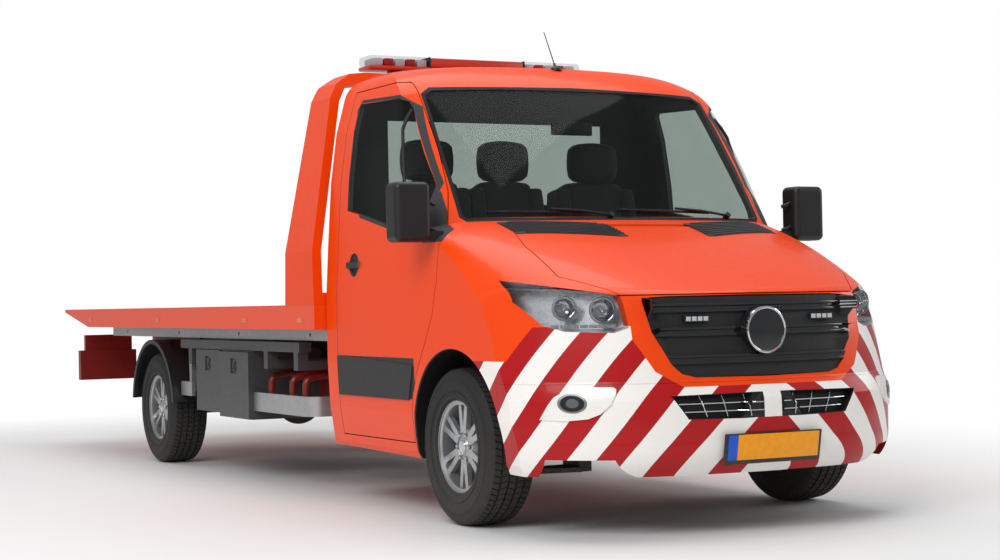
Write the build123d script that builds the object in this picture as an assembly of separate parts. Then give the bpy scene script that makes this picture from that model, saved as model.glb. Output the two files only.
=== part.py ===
"""Slide-and-tilt recovery truck: a light commercial cab and chassis with a sliding tilting car deck.

All sizes are millimetres. The truck is modelled on its front-axle datum (X forward from the front
axle, Y to the left, Z up from the ground), then every piece is moved so that the origin lies on
the ground at the middle of the length. Each node is written to parts/NODE.step.
"""
from build123d import *
from math import cos, sin, radians, hypot
from functools import lru_cache
import os

# ---------------------------------------------------------------- driving sizes
WHEELBASE = 4325
FRONT_OVERHANG = 1043        # front axle to the bumper's nose
REAR_OVERHANG = 1890         # rear axle to the deck's tail
TRACK = 1714                 # between the wheel centre planes
TYRE_R = 350                 # 235/65 R16, loaded
TYRE_W = 240
WHEEL_Z = TYRE_R
RIM_R = 221                  # rim lip
RIM_SEAT_R = 203
GAP = 5                      # shut gap round every opening panel

REAR_X = -WHEELBASE
TAIL_X = REAR_X - REAR_OVERHANG
SHIFT_X = -(FRONT_OVERHANG + TAIL_X) / 2

# cab
CAB_REAR = -1420
SILL_Z = 285
CAB_HALF = 985
SKIN = 28                    # body wall, inner trim included
REST = 0.3                   # panels rest this far off their ledges
GLASS_SET = 4                # glass below the body's surface
GLASS_T = 6
FLOOR_Z = 520
FLOOR_T = 25
ARCH_R = 432
ARCH_X = 15
ARCH_Z = 350
TUB_T = 6
TUB_IN = 535                 # inner wall of the front wheel tubs
HINGE_X = -150               # door hinge line
HINGE_Y = 985
DOOR_REACH = 1135            # hinge line to the door's rear edge
DOOR_LOW = 345
DOOR_TOP = 2050
BONNET_REAR = 95
FIREWALL_X = 55

# chassis and deck
RAIL_IN = 395                # chassis rail, inner and outer face
RAIL_OUT = 465
RAIL_WALL = 8
RAIL_TOP = 700
RAIL_LOW = 550
FRAME_END = REAR_X - 660
PIVOT_X = REAR_X - 620       # deck tilt pivot
PIVOT_Z = 760
PIVOT_R = 25
PIN_FIT = 0.05
SLIDE_FIT = 0.05
SLIDE_LOW = RAIL_TOP + 20    # tilt frame rail
SLIDE_TOP = SLIDE_LOW + 120
SLIDE_FRONT = -1500
SLIDE_END = REAR_X - 1640
BEARER_LOW = SLIDE_TOP + SLIDE_FIT
DECK_HALF = 1050
DECK_TOP = 985
DECK_LOW = 862
DECK_FRONT = -1432
BAND_W = 40
TAIL_TAPER = 600
HEAD_TOP = 2190
HEAD_T = 50
UNDER_RAIL_LOW = 800
BASE_PIN = (-3000, 545)      # tilt cylinders: base pin, rod eye
EYE_PIN = (-3650, 700)
CYL_Y = 250
CYL_R = 45
ROD_R = 25
EYE_R = 38
EYE_PIN_R = 15


# ---------------------------------------------------------------- helpers
def block(x0, x1, y0, y1, z0, z1):
    """A box between two corners."""
    centre = ((x0 + x1) / 2, (y0 + y1) / 2, (z0 + z1) / 2)
    return Pos(*centre) * Box(abs(x1 - x0), abs(y1 - y0), abs(z1 - z0))


def side_prism(points, y0, y1):
    """A side-view outline of (x, z) points, run from y0 to y1."""
    face = make_face(Polyline(*[(x, y0, z) for x, z in points], close=True))
    return extrude(face, amount=y1 - y0, dir=(0, 1, 0))


def front_prism(points, x0, x1):
    """A front-view outline of (y, z) points, run from x0 to x1."""
    face = make_face(Polyline(*[(x0, y, z) for y, z in points], close=True))
    return extrude(face, amount=x1 - x0, dir=(1, 0, 0))


def plan_prism(points, z0, z1):
    """A plan outline of (x, y) points, run from z0 to z1."""
    face = make_face(Polyline(*[(x, y, z0) for x, y in points], close=True))
    return extrude(face, amount=z1 - z0, dir=(0, 0, 1))


def rod(p, q, r):
    """A round bar from p to q."""
    p, q = Vector(*p), Vector(*q)
    return Solid.make_cylinder(r, (q - p).length, Plane(origin=p, z_dir=(q - p)))


def tube_path(points, radius, bend):
    """A round tube along straight runs joined by tangent bends."""
    path = FilletPolyline(*points, radius=bend)
    start = Plane(origin=path @ 0, z_dir=path % 0)
    return sweep(start * Circle(radius), path=path)


def mirror_y(shape):
    """The same piece on the other side of the truck."""
    return mirror(shape, about=Plane.XZ)


def both(shape):
    """The piece and its mirror image, as separate solids."""
    return Compound(children=[*shape.solids(), *mirror_y(shape).solids()])


def bulge(p, q, sagitta, y):
    """An arc in side view from p to q that stands sagitta proud of the chord, on its left."""
    dx, dz = q[0] - p[0], q[1] - p[1]
    run = hypot(dx, dz)
    mid = ((p[0] + q[0]) / 2 + dz / run * sagitta, (p[1] + q[1]) / 2 - dx / run * sagitta)
    return ThreePointArc((p[0], y, p[1]), (mid[0], y, mid[1]), (q[0], y, q[1]))


# ---------------------------------------------------------------- cab form
# One row per lengthwise section: y, bumper x, grille foot x, nose x, nose z,
# windscreen foot x and z, windscreen head x and z, roof z at the rear.
CAB_SECTIONS = (
    (0, 1040, 1003, 925, 1005, -95, 1372, -575, 2012, 2190),
    (360, 1012, 976, 900, 1006, -108, 1372, -588, 2010, 2185),
    (620, 925, 890, 808, 1012, -142, 1368, -620, 2004, 2168),
    (800, 785, 752, 650, 1022, -190, 1355, -668, 1990, 2138),
    (920, 640, 608, 470, 1020, -270, 1335, -725, 1970, 2105),
    (985, 510, 480, 320, 985, -330, 1310, -770, 1945, 2080),
)


def cab_section(row, inset):
    """One closed side-view outline of the cab, inset all round."""
    y, bumper, foot, nose, nose_z, cowl, cowl_z, head, head_z, roof = row
    y = y * (CAB_HALF - inset) / CAB_HALF
    t = inset
    rear = CAB_REAR + t
    p = [
        (rear, SILL_Z + t), (bumper - 70 - t, 255 + t), (bumper - t, 400), (bumper - t, 570),
        (foot - t, 650), (nose + 12 - t, nose_z - 50 - t / 2), (nose - 60 - t, nose_z + 25 - t),
        (cowl - t * 0.6, cowl_z - t), (head - t, head_z - t * 0.6), (head - 190, roof - 42 - t),
        (rear + 60, roof - t), (rear, roof - 62 - t),
    ]
    edges = [Line((p[0][0], y, p[0][1]), (p[1][0], y, p[1][1]))]
    sagittas = (22, 3, 2, 6, 14, 26, 14, 14, 10, 17)
    for a, b, s in zip(p[1:-1], p[2:], sagittas):
        edges.append(bulge(a, b, s, y))
    edges.append(Line((p[-1][0], y, p[-1][1]), (p[0][0], y, p[0][1])))
    return Wire(edges)


SIDE_SHAPE = ((925, 250), (950, 300), (975, 480), (985, 700), (985, 1050), (972, 1280),
              (950, 1600), (915, 1850), (868, 2020))


@lru_cache
def cab_form(inset):
    """The closed form of the cab, inset all round: side-view sections cut to the front-view shape."""
    sections = [cab_section((-r[0], *r[1:]), inset) for r in reversed(CAB_SECTIONS[1:])]
    sections += [cab_section(r, inset) for r in CAB_SECTIONS]
    form = Solid.make_loft(sections)
    half = [(y - inset, z) for y, z in SIDE_SHAPE]
    roof_y, roof_z = half[-1]
    shoulder = (roof_y - 130, 2135 - inset)
    upper = [Line((0, *a), (0, *b)) for a, b in zip(half, half[1:])]
    upper.append(ThreePointArc((0, roof_y, roof_z), (0, roof_y - 38, 2092 - inset), (0, *shoulder)))
    upper.append(Line((0, *shoulder), (0, shoulder[0], 2400)))
    lower = [mirror_y(e) for e in upper]
    top = Line((0, shoulder[0], 2400), (0, -shoulder[0], 2400))
    foot = Line((0, *half[0]), (0, -half[0][0], half[0][1]))
    face = make_face([*upper, top, *lower, foot])
    return form & extrude(Pos(-2000, 0, 0) * face, amount=4000, dir=(1, 0, 0))


OUTER = cab_form(0)
INNER = cab_form(SKIN)
PANE = cab_form(GLASS_SET) - cab_form(GLASS_SET + GLASS_T)
WALL = OUTER - INNER

# ---------------------------------------------------------------- cab cut lines
# Side-view outlines (x, z) of the door and its window, front-view outlines (y, z) of the rest.
DOOR_EDGE = ((-1500, DOOR_LOW), (-447, DOOR_LOW), (-441, 470), (-418, 570), (-370, 665), (-280, 790),
             (-190, 930), (-140, 1080), (-128, 1262), (-152, 1312), (-281, 1502), (-445, 1722),
             (-606, 1942), (-650, 1994), (-712, 2035), (-760, DOOR_TOP), (-1500, DOOR_TOP))
WINDOW_EDGE = ((-1190, 1452), (-1029, 1425), (-548, 1325), (-305, 1283), (-352, 1532),
               (-469, 1690), (-624, 1908), (-662, 1948), (-715, 1968), (-1178, 1985), (-1196, 1968))
DOOR_INNER = ((905, 200), (905, 1262), (880, 1330), (835, 1500), (815, 1700), (800, 2100), (1100, 2100), (1100, 200))
SCREEN_EDGE = ((0, 1374), (420, 1374), (792, 1370), (806, 1382), (798, 1700), (778, 1978),
               (740, 2004), (400, 2014), (0, 2016))
GRILLE_EDGE = ((0, 1000), (420, 998), (520, 992), (524, 975), (505, 850), (440, 715), (400, 676),
               (340, 660), (0, 656))
GRILLE_TOP = ((-600, 900), (-600, 1003), (-420, 1007), (0, 1008), (420, 1007), (600, 1003), (600, 900))
LAMP_EDGE = ((597, 1003), (588, 870), (640, 850), (800, 858), (860, 885), (922, 985), (922, 1078),
             (800, 1047))
INTAKE_EDGE = ((95, 590), (462, 585), (395, 494), (150, 490))
BUMPER_TOP = 640
BUMPER_REAR = 430


def half_outline(points):
    """A left half-outline and its mirror as one closed list; the end points lie on the centre line."""
    return [*points, *[(-y, z) for y, z in reversed(points) if y > 0]]


def side_cut(points, y0, y1, grow=0):
    """A side-view prism from a closed (x, z) outline, grown by the given gap."""
    face = make_face(Polyline(*[(x, z) for x, z in points], close=True))
    if grow:
        face = offset(face, amount=grow, kind=Kind.INTERSECTION)
    solid = extrude(Plane(origin=(0, y1, 0), x_dir=(1, 0, 0), z_dir=(0, -1, 0)) * face, amount=y1 - y0)
    return solid


def front_cut(points, x0, x1, grow=0):
    """A front-view prism from a closed (y, z) outline, grown by the given gap."""
    face = make_face(Polyline(*points, close=True))
    if grow:
        face = offset(face, amount=grow, kind=Kind.INTERSECTION)
    return extrude(Plane(origin=(x0, 0, 0), x_dir=(0, 1, 0), z_dir=(1, 0, 0)) * face, amount=x1 - x0)


def plan_cut(points, z0, z1, grow=0):
    """A plan prism from a closed (x, y) outline, grown by the given gap."""
    face = make_face(Polyline(*points, close=True))
    if grow:
        face = offset(face, amount=grow, kind=Kind.INTERSECTION)
    return extrude(Pos(0, 0, z0) * face, amount=z1 - z0)


def door_region(grow):
    """The left door's region: its outline, ended by an arc about the hinge line."""
    outline = side_cut(DOOR_EDGE, 640, 1100, grow)
    outline &= front_cut(DOOR_INNER, -1600, 0, grow)
    sweep_arc = Pos(HINGE_X, HINGE_Y, 1200) * Cylinder(DOOR_REACH + grow, 2400)
    return outline & sweep_arc


BONNET_PLAN = ((BONNET_REAR, -700), (250, -735), (560, -745), (700, -660), (800, -602), (1000, -602),
               (1000, 602), (800, 602), (700, 660), (560, 745), (250, 735), (BONNET_REAR, 700))


def bonnet_region(grow):
    """The bonnet's region in plan, above the grille."""
    return plan_cut(BONNET_PLAN, 985 + 22 - grow, 1420, grow)


def arch_cut(radius, y0=TUB_IN, y1=1100):
    """The left front wheel arch's round space."""
    return Pos(ARCH_X, (y0 + y1) / 2, ARCH_Z) * Rot(90, 0, 0) * Cylinder(radius, y1 - y0)


# ---------------------------------------------------------------- cab pieces
def door_rebate():
    """The left door's rebate: a flange behind the door's edge, joined to the wall round it."""
    flange = (cab_form(SKIN + REST) - cab_form(SKIN + 8)) & (door_region(15) - door_region(-15))
    root = (cab_form(12) - cab_form(SKIN + 8)) & (door_region(15) - door_region(GAP))
    return (flange + root) & block(-1500, -300, 700, 1100, 320, 2100)


def arch_liner():
    """The left front wheel tub: a round roof and an inner wall."""
    tub = arch_cut(ARCH_R + TUB_T, TUB_IN - TUB_T, 990) & OUTER
    tub &= block(-420, 700, 0, 1000, 330, 1000)
    return tub - arch_cut(ARCH_R)


def bumper_region(grow=0):
    """The bumper's region: below its top line and ahead of the arches."""
    return block(BUMPER_REAR - grow, 1100, -1100, 1100, 200, BUMPER_TOP + grow)


def cab_shell():
    """Roof, sides, wings, front panel, scuttle, floor and wheel tubs, open for every panel."""
    shell = WALL
    shell -= block(CAB_REAR - 10, 900, -890, 890, 200, 330)
    shell -= block(CAB_REAR - 10, CAB_REAR + 60, -890, 890, 200, FLOOR_Z - 6)
    for region in (door_region(GAP), arch_cut(ARCH_R)):
        shell -= region
        shell -= mirror_y(region)
    shell -= bonnet_region(GAP)
    shell -= bumper_region(1)
    shell -= front_cut(half_outline(GRILLE_EDGE), 700, 1100)
    lamp = front_cut(LAMP_EDGE, 250, 1000)
    shell -= lamp
    shell -= mirror_y(lamp)
    shell -= front_cut(half_outline(SCREEN_EDGE), -760, 60)
    shell -= REAR_WINDOW
    shell -= block(FIREWALL_X, 700, -500, 500, 1275, 1420)
    floor = block(CAB_REAR + 10, FIREWALL_X + FLOOR_T, -1000, 1000, FLOOR_Z, FLOOR_Z + FLOOR_T)
    firewall = block(FIREWALL_X, FIREWALL_X + FLOOR_T, -1000, 1000, FLOOR_Z, 1240)
    inside = (floor + firewall) & cab_form(12)
    inside -= door_region(GAP) + mirror_y(door_region(GAP))
    ledge = (cab_form(SKIN + REST) - cab_form(SKIN + 8)) & (bonnet_region(30) - bonnet_region(-16))
    root = (cab_form(12) - cab_form(SKIN + 8)) & (bonnet_region(30) - bonnet_region(GAP))
    ledge = (ledge + root) & block(160, 540, -1000, 1000, 900, 1400)
    ledge -= lamp + mirror_y(lamp)
    tub = arch_liner() - bumper_region(1)
    for side in (arch_cut(ARCH_R + TUB_T - 1, TUB_IN - TUB_T + 1), mirror_y(arch_cut(ARCH_R + 2))):
        inside -= side
    rebate = door_rebate()
    shell = shell + inside + tub + mirror_y(tub) + ledge + rebate + mirror_y(rebate)
    return shell


REAR_WINDOW = block(CAB_REAR - 10, CAB_REAR + 60, -640, 640, 1500, 1930)


def front_bumper():
    """The bumper skin with its two lower intakes and fog lamp places."""
    skin = WALL & bumper_region()
    skin -= block(BUMPER_REAR - 10, 880, -890, 890, 200, 330)
    for cut in (front_cut(INTAKE_EDGE, 800, 1100), arch_cut(ARCH_R)):
        skin -= cut
        skin -= mirror_y(cut)
    skin -= front_cut(half_outline(GRILLE_EDGE), 700, 1100)
    skin -= block(BUMPER_REAR - 10, 700, -TUB_IN - 5, TUB_IN + 5, 200, 700)
    backing = (INNER - cab_form(SKIN + 8)) & front_cut(INTAKE_EDGE, 800, 1100, 15)
    liner = arch_liner() & bumper_region()
    return skin + backing + mirror_y(backing) + liner + mirror_y(liner)


def grille():
    """The grille panel, set back in its opening."""
    panel = (cab_form(12) - cab_form(SKIN)) & front_cut(half_outline(GRILLE_EDGE), 700, 1100)
    bars = None
    for level in (725, 790, 855, 920):
        bar = (cab_form(2) - cab_form(13)) & block(700, 1100, -505, 505, level, level + 16)
        bar &= front_cut(half_outline(GRILLE_EDGE), 700, 1100)
        bars = bar if bars is None else bars + bar
    badge = rod((905, 0, 850), (1002, 0, 850), 98) - cab_form(13)
    return panel + bars + badge


def headlamps():
    """Both headlamp bodies, as thick as the wing."""
    lamp = (cab_form(1) - cab_form(SKIN)) & front_cut(LAMP_EDGE, 250, 1000)
    return both(max(lamp.solids(), key=lambda s: s.volume))


def bonnet():
    """The bonnet panel."""
    panel = WALL & bonnet_region(0)
    for lamp in (front_cut(LAMP_EDGE, 250, 1000, GAP), front_cut(GRILLE_TOP, 700, 1100)):
        panel -= lamp
        panel -= mirror_y(lamp)
    return max(panel.solids(), key=lambda s: s.volume)


def windscreen():
    """The bonded front glass."""
    glass = PANE & front_cut(half_outline(SCREEN_EDGE), -760, 60)
    return max(glass.solids(), key=lambda s: s.volume)


def rear_window():
    """The flat glass in the cab's back wall."""
    return block(CAB_REAR + 8, CAB_REAR + 14, -640, 640, 1500, 1930)


def door():
    """The left door: outer and inner skin as one panel, its window opening, handle place, trim strip."""
    panel = WALL & door_region(0)
    panel = max(panel.solids(), key=lambda s: s.volume)
    panel -= side_cut(WINDOW_EDGE, 640, 1100)
    strip = (cab_form(-8) - cab_form(2)) & side_cut(((-1278, 540), (-452, 540), (-395, 700), (-1278, 735)), 800, 1100)
    strip &= door_region(0)
    panel += strip
    panel -= Pos(-1080, 985, 1180) * Rot(90, 0, 0) * Cylinder(58, 36)
    return panel


def door_handle():
    """The left door's bar handle, across its round recess."""
    return block(-1150, -1010, 972, 990, 1166, 1196)


def door_glass():
    """The left door's window glass."""
    glass = PANE & side_cut(WINDOW_EDGE, 640, 1100) & door_region(0)
    return max(glass.solids(), key=lambda s: s.volume)


def door_mirror():
    """The left mirror: housing, glass place and the arm to the door's front corner."""
    housing = block(-265, -135, 1000, 1175, 1262, 1532)
    housing = fillet(housing.edges(), 28)
    arm = block(-262, -170, 925, 1040, 1268, 1312)
    recess = block(-270, -257, 1018, 1157, 1280, 1512)
    return (housing + arm) - recess - OUTER


# ---------------------------------------------------------------- cab interior
def dashboard():
    """The dashboard with a binnacle and centre stack."""
    outline = ((FIREWALL_X, 1100), (FIREWALL_X, 1225), (-130, 1325), (-190, 1345), (-430, 1265), (-500, 1225), (-505, 1150),
               (-400, 1000), (-380, 860), (-280, 840), (-200, 1050))
    body = side_cut(outline, -820, 820)
    stack = side_cut(((-300, 1150), (-540, 1150), (-560, 1080), (-520, 850), (-300, 850)), -120, 140)
    hood = side_cut(((-300, 1290), (-420, 1330), (-500, 1300), (-505, 1180), (-300, 1180)), 230, 530)
    return ((body + stack + hood) & cab_form(SKIN + REST)) - steering_wheel()


def seat(y0, y1, heads):
    """A seat: box base, cushion, back and headrests, for the given width."""
    base = block(-1060, -640, y0 + 40, y1 - 40, FLOOR_Z + FLOOR_T, 820)
    cushion = block(-1080, -580, y0, y1, 820, 940)
    cushion = fillet(cushion.edges(), 30)
    back = side_cut(((-940, 900), (-1070, 900), (-1130, 1560), (-1105, 1600), (-1060, 1590)), y0 + 10, y1 - 10)
    piece = base + cushion + back
    for y in heads:
        rest = block(-1145, -1055, y - 130, y + 130, 1615, 1790)
        rest = fillet(rest.edges(), 30)
        piece += rest
        for s in (-55, 55):
            piece += rod((-1098, y + s, 1560), (-1100, y + s, 1640), 8)
    return piece


def steering_wheel():
    """The steering wheel and its column."""
    hub = Plane(origin=(-560, 380, 1160), z_dir=(-0.87, 0, 0.5))
    ring = hub * Torus(185, 15)
    boss = hub * Cylinder(55, 40)
    spokes = hub * Box(350, 34, 14) + hub * (Pos(0, -90, 0) * Box(34, 180, 14))
    spokes &= hub * Cylinder(186, 60)
    column = rod((-560, 380, 1160), (-455, 380, 1100), 32)
    return ring + boss + spokes + column


# ---------------------------------------------------------------- chassis
def rail_outline(inset):
    """The chassis rail's side view: low under the cab, stepped up behind it."""
    t = inset
    return ((750 - t, 385 + t), (-1400, 385 + t), (-1750 - t / 2, RAIL_LOW + t), (FRAME_END + t, RAIL_LOW + t),
            (FRAME_END + t, RAIL_TOP - t), (-1720, RAIL_TOP - t), (-1440 + t / 2, 505 - t), (750 - t, 505 - t))


def ladder_frame():
    """Two channel rails, cross-members, pivot lugs, cylinder lugs and cab mounts."""
    web = side_prism(rail_outline(0), RAIL_IN, RAIL_OUT)
    web -= side_prism(rail_outline(RAIL_WALL), RAIL_IN, RAIL_OUT - RAIL_WALL)
    lug = side_prism(((PIVOT_X - 70, 560), (PIVOT_X + 70, 560), (PIVOT_X + 45, PIVOT_Z + 45),
                      (PIVOT_X - 45, PIVOT_Z + 45)), RAIL_OUT, RAIL_OUT + 18)
    lug = lug & block(FRAME_END, 0, 0, 1000, 0, 1000)
    lug -= Pos(PIVOT_X, RAIL_OUT, PIVOT_Z) * Rot(90, 0, 0) * Cylinder(PIVOT_R + PIN_FIT, 60)
    frame = web + lug
    mounts = block(-300, -200, RAIL_IN, RAIL_OUT, 505, FLOOR_Z)
    mounts += block(-1300, -1200, RAIL_IN, RAIL_OUT, 505, FLOOR_Z)
    frame += mounts
    frame += mirror_y(frame)
    cross_x = (-1330, -2200, BASE_PIN[0] + 100, -3900, FRAME_END + 60)
    for x in cross_x:
        low, high = (400, 490) if x > -1500 else (570, 680)
        frame += block(x - 40, x + 40, -RAIL_OUT + 4, RAIL_OUT - 4, low, high)
    frame += block(690, 745, -RAIL_OUT + 4, RAIL_OUT - 4, 400, 490)
    for x in (260, 520):
        foot = block(x, x + 60, 230, RAIL_IN + 2, 475, 505)
        frame += foot + mirror_y(foot)
    bumper_bar = block(745, 800, -800, 800, 395, 495) & cab_form(SKIN)
    frame += bumper_bar
    bx, bz = BASE_PIN
    for y in (CYL_Y - 40, CYL_Y + 24):
        ear = block(bx - 38, bx + 70, y, y + 16, bz - 40, bz + 55)
        frame += ear + mirror_y(ear)
    pin = rod((bx, CYL_Y - 40, bz), (bx, CYL_Y + 40, bz), EYE_PIN_R)
    frame += pin + mirror_y(pin)
    return frame


def front_axle_beam():
    """The front subframe with its lower and upper arms to the king-pin ends."""
    beam = block(-60, 90, -RAIL_IN, RAIL_IN, 300, 385)
    beam += block(-60, 90, -RAIL_OUT, RAIL_OUT, 300, 385)
    leg = block(-60, 90, 330, RAIL_IN, ARM_LOW_Z, 310)
    low = plan_prism(((-80, RAIL_IN - 5), (110, RAIL_IN - 5), (45, KING_Y - 30), (45, KING_Y + 15), (0, KING_Y + 40),
                      (-45, KING_Y + 15), (-45, KING_Y - 30)), ARM_LOW_Z, ARM_LOW_Z + ARM_T)
    arm = leg + low
    tower = block(-40, 70, 410, TUB_IN - TUB_T - 4, 300, 385)
    tower += block(-40, 40, 480, TUB_IN - TUB_T - 4, 300, FLOOR_Z - REST)
    return beam + arm + mirror_y(arm) + tower + mirror_y(tower)


def upper_arms():
    """The upper arms, from the wheel tubs' inner walls to the king-pin ends."""
    arm = plan_prism(((-60, TUB_IN), (60, TUB_IN), (40, KING_Y - 20), (35, KING_Y + 20), (0, KING_Y + 38),
                      (-35, KING_Y + 20), (-40, KING_Y - 20)), ARM_TOP_Z, ARM_TOP_Z + ARM_T)
    return both(arm)


def rear_axle():
    """The rear axle tube with its differential, hubs' flanges and leaf springs."""
    hub_y = TRACK / 2
    tube = rod((REAR_X, -hub_y + 70, WHEEL_Z), (REAR_X, hub_y - 70, WHEEL_Z), 48)
    diff = Pos(REAR_X, 0, WHEEL_Z) * Sphere(150)
    diff &= block(REAR_X - 120, REAR_X + 140, -160, 160, 180, 500)
    spring = side_prism(((REAR_X - 620, 505), (REAR_X - 300, 440), (REAR_X, 402), (REAR_X + 300, 440),
                         (REAR_X + 620, 505), (REAR_X + 620, 485), (REAR_X + 300, 415), (REAR_X, 378),
                         (REAR_X - 300, 415), (REAR_X - 620, 485)), RAIL_IN, RAIL_OUT)
    shackle = block(REAR_X - 625, REAR_X - 575, RAIL_IN, RAIL_OUT, 485, RAIL_LOW)
    hanger = block(REAR_X + 575, REAR_X + 625, RAIL_IN, RAIL_OUT, 485, RAIL_LOW)
    springs = spring + shackle + hanger
    axle = tube + diff + springs + mirror_y(springs)
    stub = rod((REAR_X, hub_y - 90, WHEEL_Z), (REAR_X, hub_y - STUB_IN, WHEEL_Z), 60)
    stub += rod((REAR_X, hub_y - STUB_IN - 5, WHEEL_Z), (REAR_X, hub_y + 30, WHEEL_Z), STUB_R)
    return axle + stub + mirror_y(stub)


STUB_R = 30
STUB_FIT = 0.05
STUB_IN = 34
HUB_R = 75


KING_Y = TRACK / 2 - 100
ARM_T = 22
ARM_LOW_Z = 213
ARM_TOP_Z = 455
KING_FIT = 0.05


def knuckle():
    """The left front knuckle: an upright between the arms' ends, with the stub axle."""
    y = TRACK / 2
    low, high = ARM_LOW_Z + ARM_T + KING_FIT, ARM_TOP_Z - KING_FIT
    body = block(-42, 42, KING_Y - 30, KING_Y + 30, low, high)
    body = fillet(body.edges().filter_by(Axis.Z), 18)
    body += rod((0, KING_Y, WHEEL_Z), (0, y - STUB_IN, WHEEL_Z), 60)
    body += rod((0, y - STUB_IN - 5, WHEEL_Z), (0, y + 30, WHEEL_Z), STUB_R)
    disc = rod((0, y - STUB_IN - 22, WHEEL_Z), (0, y - STUB_IN, WHEEL_Z), 140)
    return body + disc


def wheel_lathe(profile):
    """A turned piece about the Y axis from (y, r) points, centred on the origin."""
    area = sum(a[0] * b[1] - b[0] * a[1] for a, b in zip(profile, (*profile[1:], profile[0])))
    points = profile if area > 0 else profile[::-1]
    face = make_face(Polyline(*[(0, y, r) for y, r in points], close=True))
    turned = revolve(face, Axis.Y)
    return turned if turned.volume > 0 else revolve(-face, Axis.Y)


TYRE_PROFILE = ((-98, RIM_SEAT_R), (-112, RIM_R), (-112, 232), (-120, 285), (-112, 321), (-96, TYRE_R - 9), (-60, TYRE_R),
                (60, TYRE_R), (96, TYRE_R - 9), (112, 321), (120, 285), (112, 232), (112, RIM_R),
                (98, RIM_SEAT_R))


def tyre():
    """A tyre, centred on the origin, tread drawn plain."""
    return wheel_lathe(TYRE_PROFILE)


RIM_BORE = 187               # inside of the rim's barrel
RIM_PROFILE = ((-98, RIM_SEAT_R), (-112, RIM_R), (-105, RIM_R), (-90, 198), (-90, RIM_BORE), (86, RIM_BORE),
               (86, 198), (105, RIM_R), (112, RIM_R), (98, RIM_SEAT_R), (55, RIM_SEAT_R), (20, 195),
               (-25, 195), (-60, RIM_SEAT_R))
HUB_PROFILE = ((-STUB_IN + 2, STUB_R + STUB_FIT), (-STUB_IN + 2, HUB_R), (40, HUB_R), (46, 88), (66, 80),
               (70, 40), (76, 34), (76, 0), (34, 0), (34, STUB_R + STUB_FIT))
SPOKES = 6
SPOKE_IN, SPOKE_OUT = 52, 74


def rim(side):
    """A rim with paired spokes, centred on the origin, its face towards side (+1 left, -1 right)."""
    wheel = wheel_lathe(RIM_PROFILE) + wheel_lathe(HUB_PROFILE)
    reach = Rot(90, 0, 0) * Cylinder(RIM_BORE + 4, 400)
    for k in range(SPOKES):
        for lean in (-1, 1):
            bar = plan_prism(((60, lean * 10 - 15), (215, lean * 34 - 13), (215, lean * 34 + 13),
                              (60, lean * 10 + 15)), SPOKE_IN, SPOKE_OUT)
            wheel += (Rot(0, 360 / SPOKES * k + 30, 0) * Rot(-90, 0, 0) * bar) & reach
    return wheel if side > 0 else Rot(0, 0, 180) * wheel


def engine_block():
    """The engine as one plain block."""
    return fillet(block(180, 640, -300, 300, 505, 930).edges(), 25)


def rear_mudguard():
    """The left rear mudguard over the tyre, with its stays."""
    y0, y1 = 735, 1000
    ring = Pos(REAR_X, (y0 + y1) / 2, WHEEL_Z + 6) * Rot(90, 0, 0) * Cylinder(428, y1 - y0)
    ring -= Pos(REAR_X, (y0 + y1) / 2, WHEEL_Z + 6) * Rot(90, 0, 0) * Cylinder(420, y1 - y0)
    lip = Pos(REAR_X, y1 - 12, WHEEL_Z + 6) * Rot(90, 0, 0) * Cylinder(428, 24)
    lip -= Pos(REAR_X, y1 - 12, WHEEL_Z + 6) * Rot(90, 0, 0) * Cylinder(400, 30)
    guard = (ring + lip) & block(REAR_X - 450, REAR_X + 450, 0, 1100, 400, 900)
    for x in (REAR_X - 250, REAR_X + 250):
        guard += block(x - 14, x + 14, RAIL_OUT, y0 + 20, 655, 683)
        top = block(x - 14, x + 14, y0, y0 + 20, 655, 715)
        guard += top
    return guard


BOXES = ((-3590, -3160, 950, 364, 739), (-3090, -2600, 980, 349, 735))
BOX_SKIN = 5
BOX_IN = 540
LID_T = 22


def toolboxes():
    """Right-side toolbox carcasses open towards the lids, the carrying rail and its outriggers."""
    carcass = None
    for x0, x1, y, z0, z1 in BOXES:
        box = block(x0, x1, -(y - LID_T - REST), -BOX_IN, z0, z1)
        box -= block(x0 + BOX_SKIN, x1 - BOX_SKIN, -y, -BOX_IN - BOX_SKIN, z0 + BOX_SKIN, z1 - BOX_SKIN)
        carcass = box if carcass is None else carcass + box
    rail = block(-3880, -1900, -950, -880, 737, 790)
    rail += block(-3590, -2600, -900, -560, 735, 745)
    for x in (-3700, -2400, -1950):
        rail += block(x - 30, x + 30, -900, -RAIL_OUT, 640, 690)
        rail += block(x - 30, x + 30, -950, -890, 640, 740)
    rail += block(-3620, -2560, -BOX_IN - 1, -BOX_IN + 40, 640, 690)
    for x in (-3610, -2570):
        rail += block(x - 10, x + 10, -BOX_IN, -RAIL_OUT, 640, 690)
    return carcass + rail


def left_gear():
    """The left side's fuel tank and battery box under the same kind of rail."""
    tank = fillet(block(-3500, -2600, 560, 930, 360, 690).edges().filter_by(Axis.X), 60)
    rail = block(-3880, -1900, 880, 950, 737, 790)
    for x in (-3700, -2540, -1950):
        rail += block(x - 30, x + 30, RAIL_OUT, 900, 640, 690)
        rail += block(x - 30, x + 30, 890, 950, 640, 740)
    rail += block(-3720, -2520, 700, 770, 680, 720)
    return tank + rail


def toolbox_lid(index):
    """A toolbox's drop-down lid with a U-shaped lock recess."""
    x0, x1, y, z0, z1 = BOXES[index]
    lid = block(x0 + 1, x1 - 1, -y, -(y - LID_T), z0 + 2, z1 - 7)
    xm, zm = (x0 + x1) / 2, z1 - 90
    lid -= block(xm - 50, xm + 50, -y - 1, -y + 10, zm - 40, zm + 45)
    lid += block(xm - 12, xm + 12, -y + 2, -y + 12, zm - 5, zm + 30)
    return lid


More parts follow.
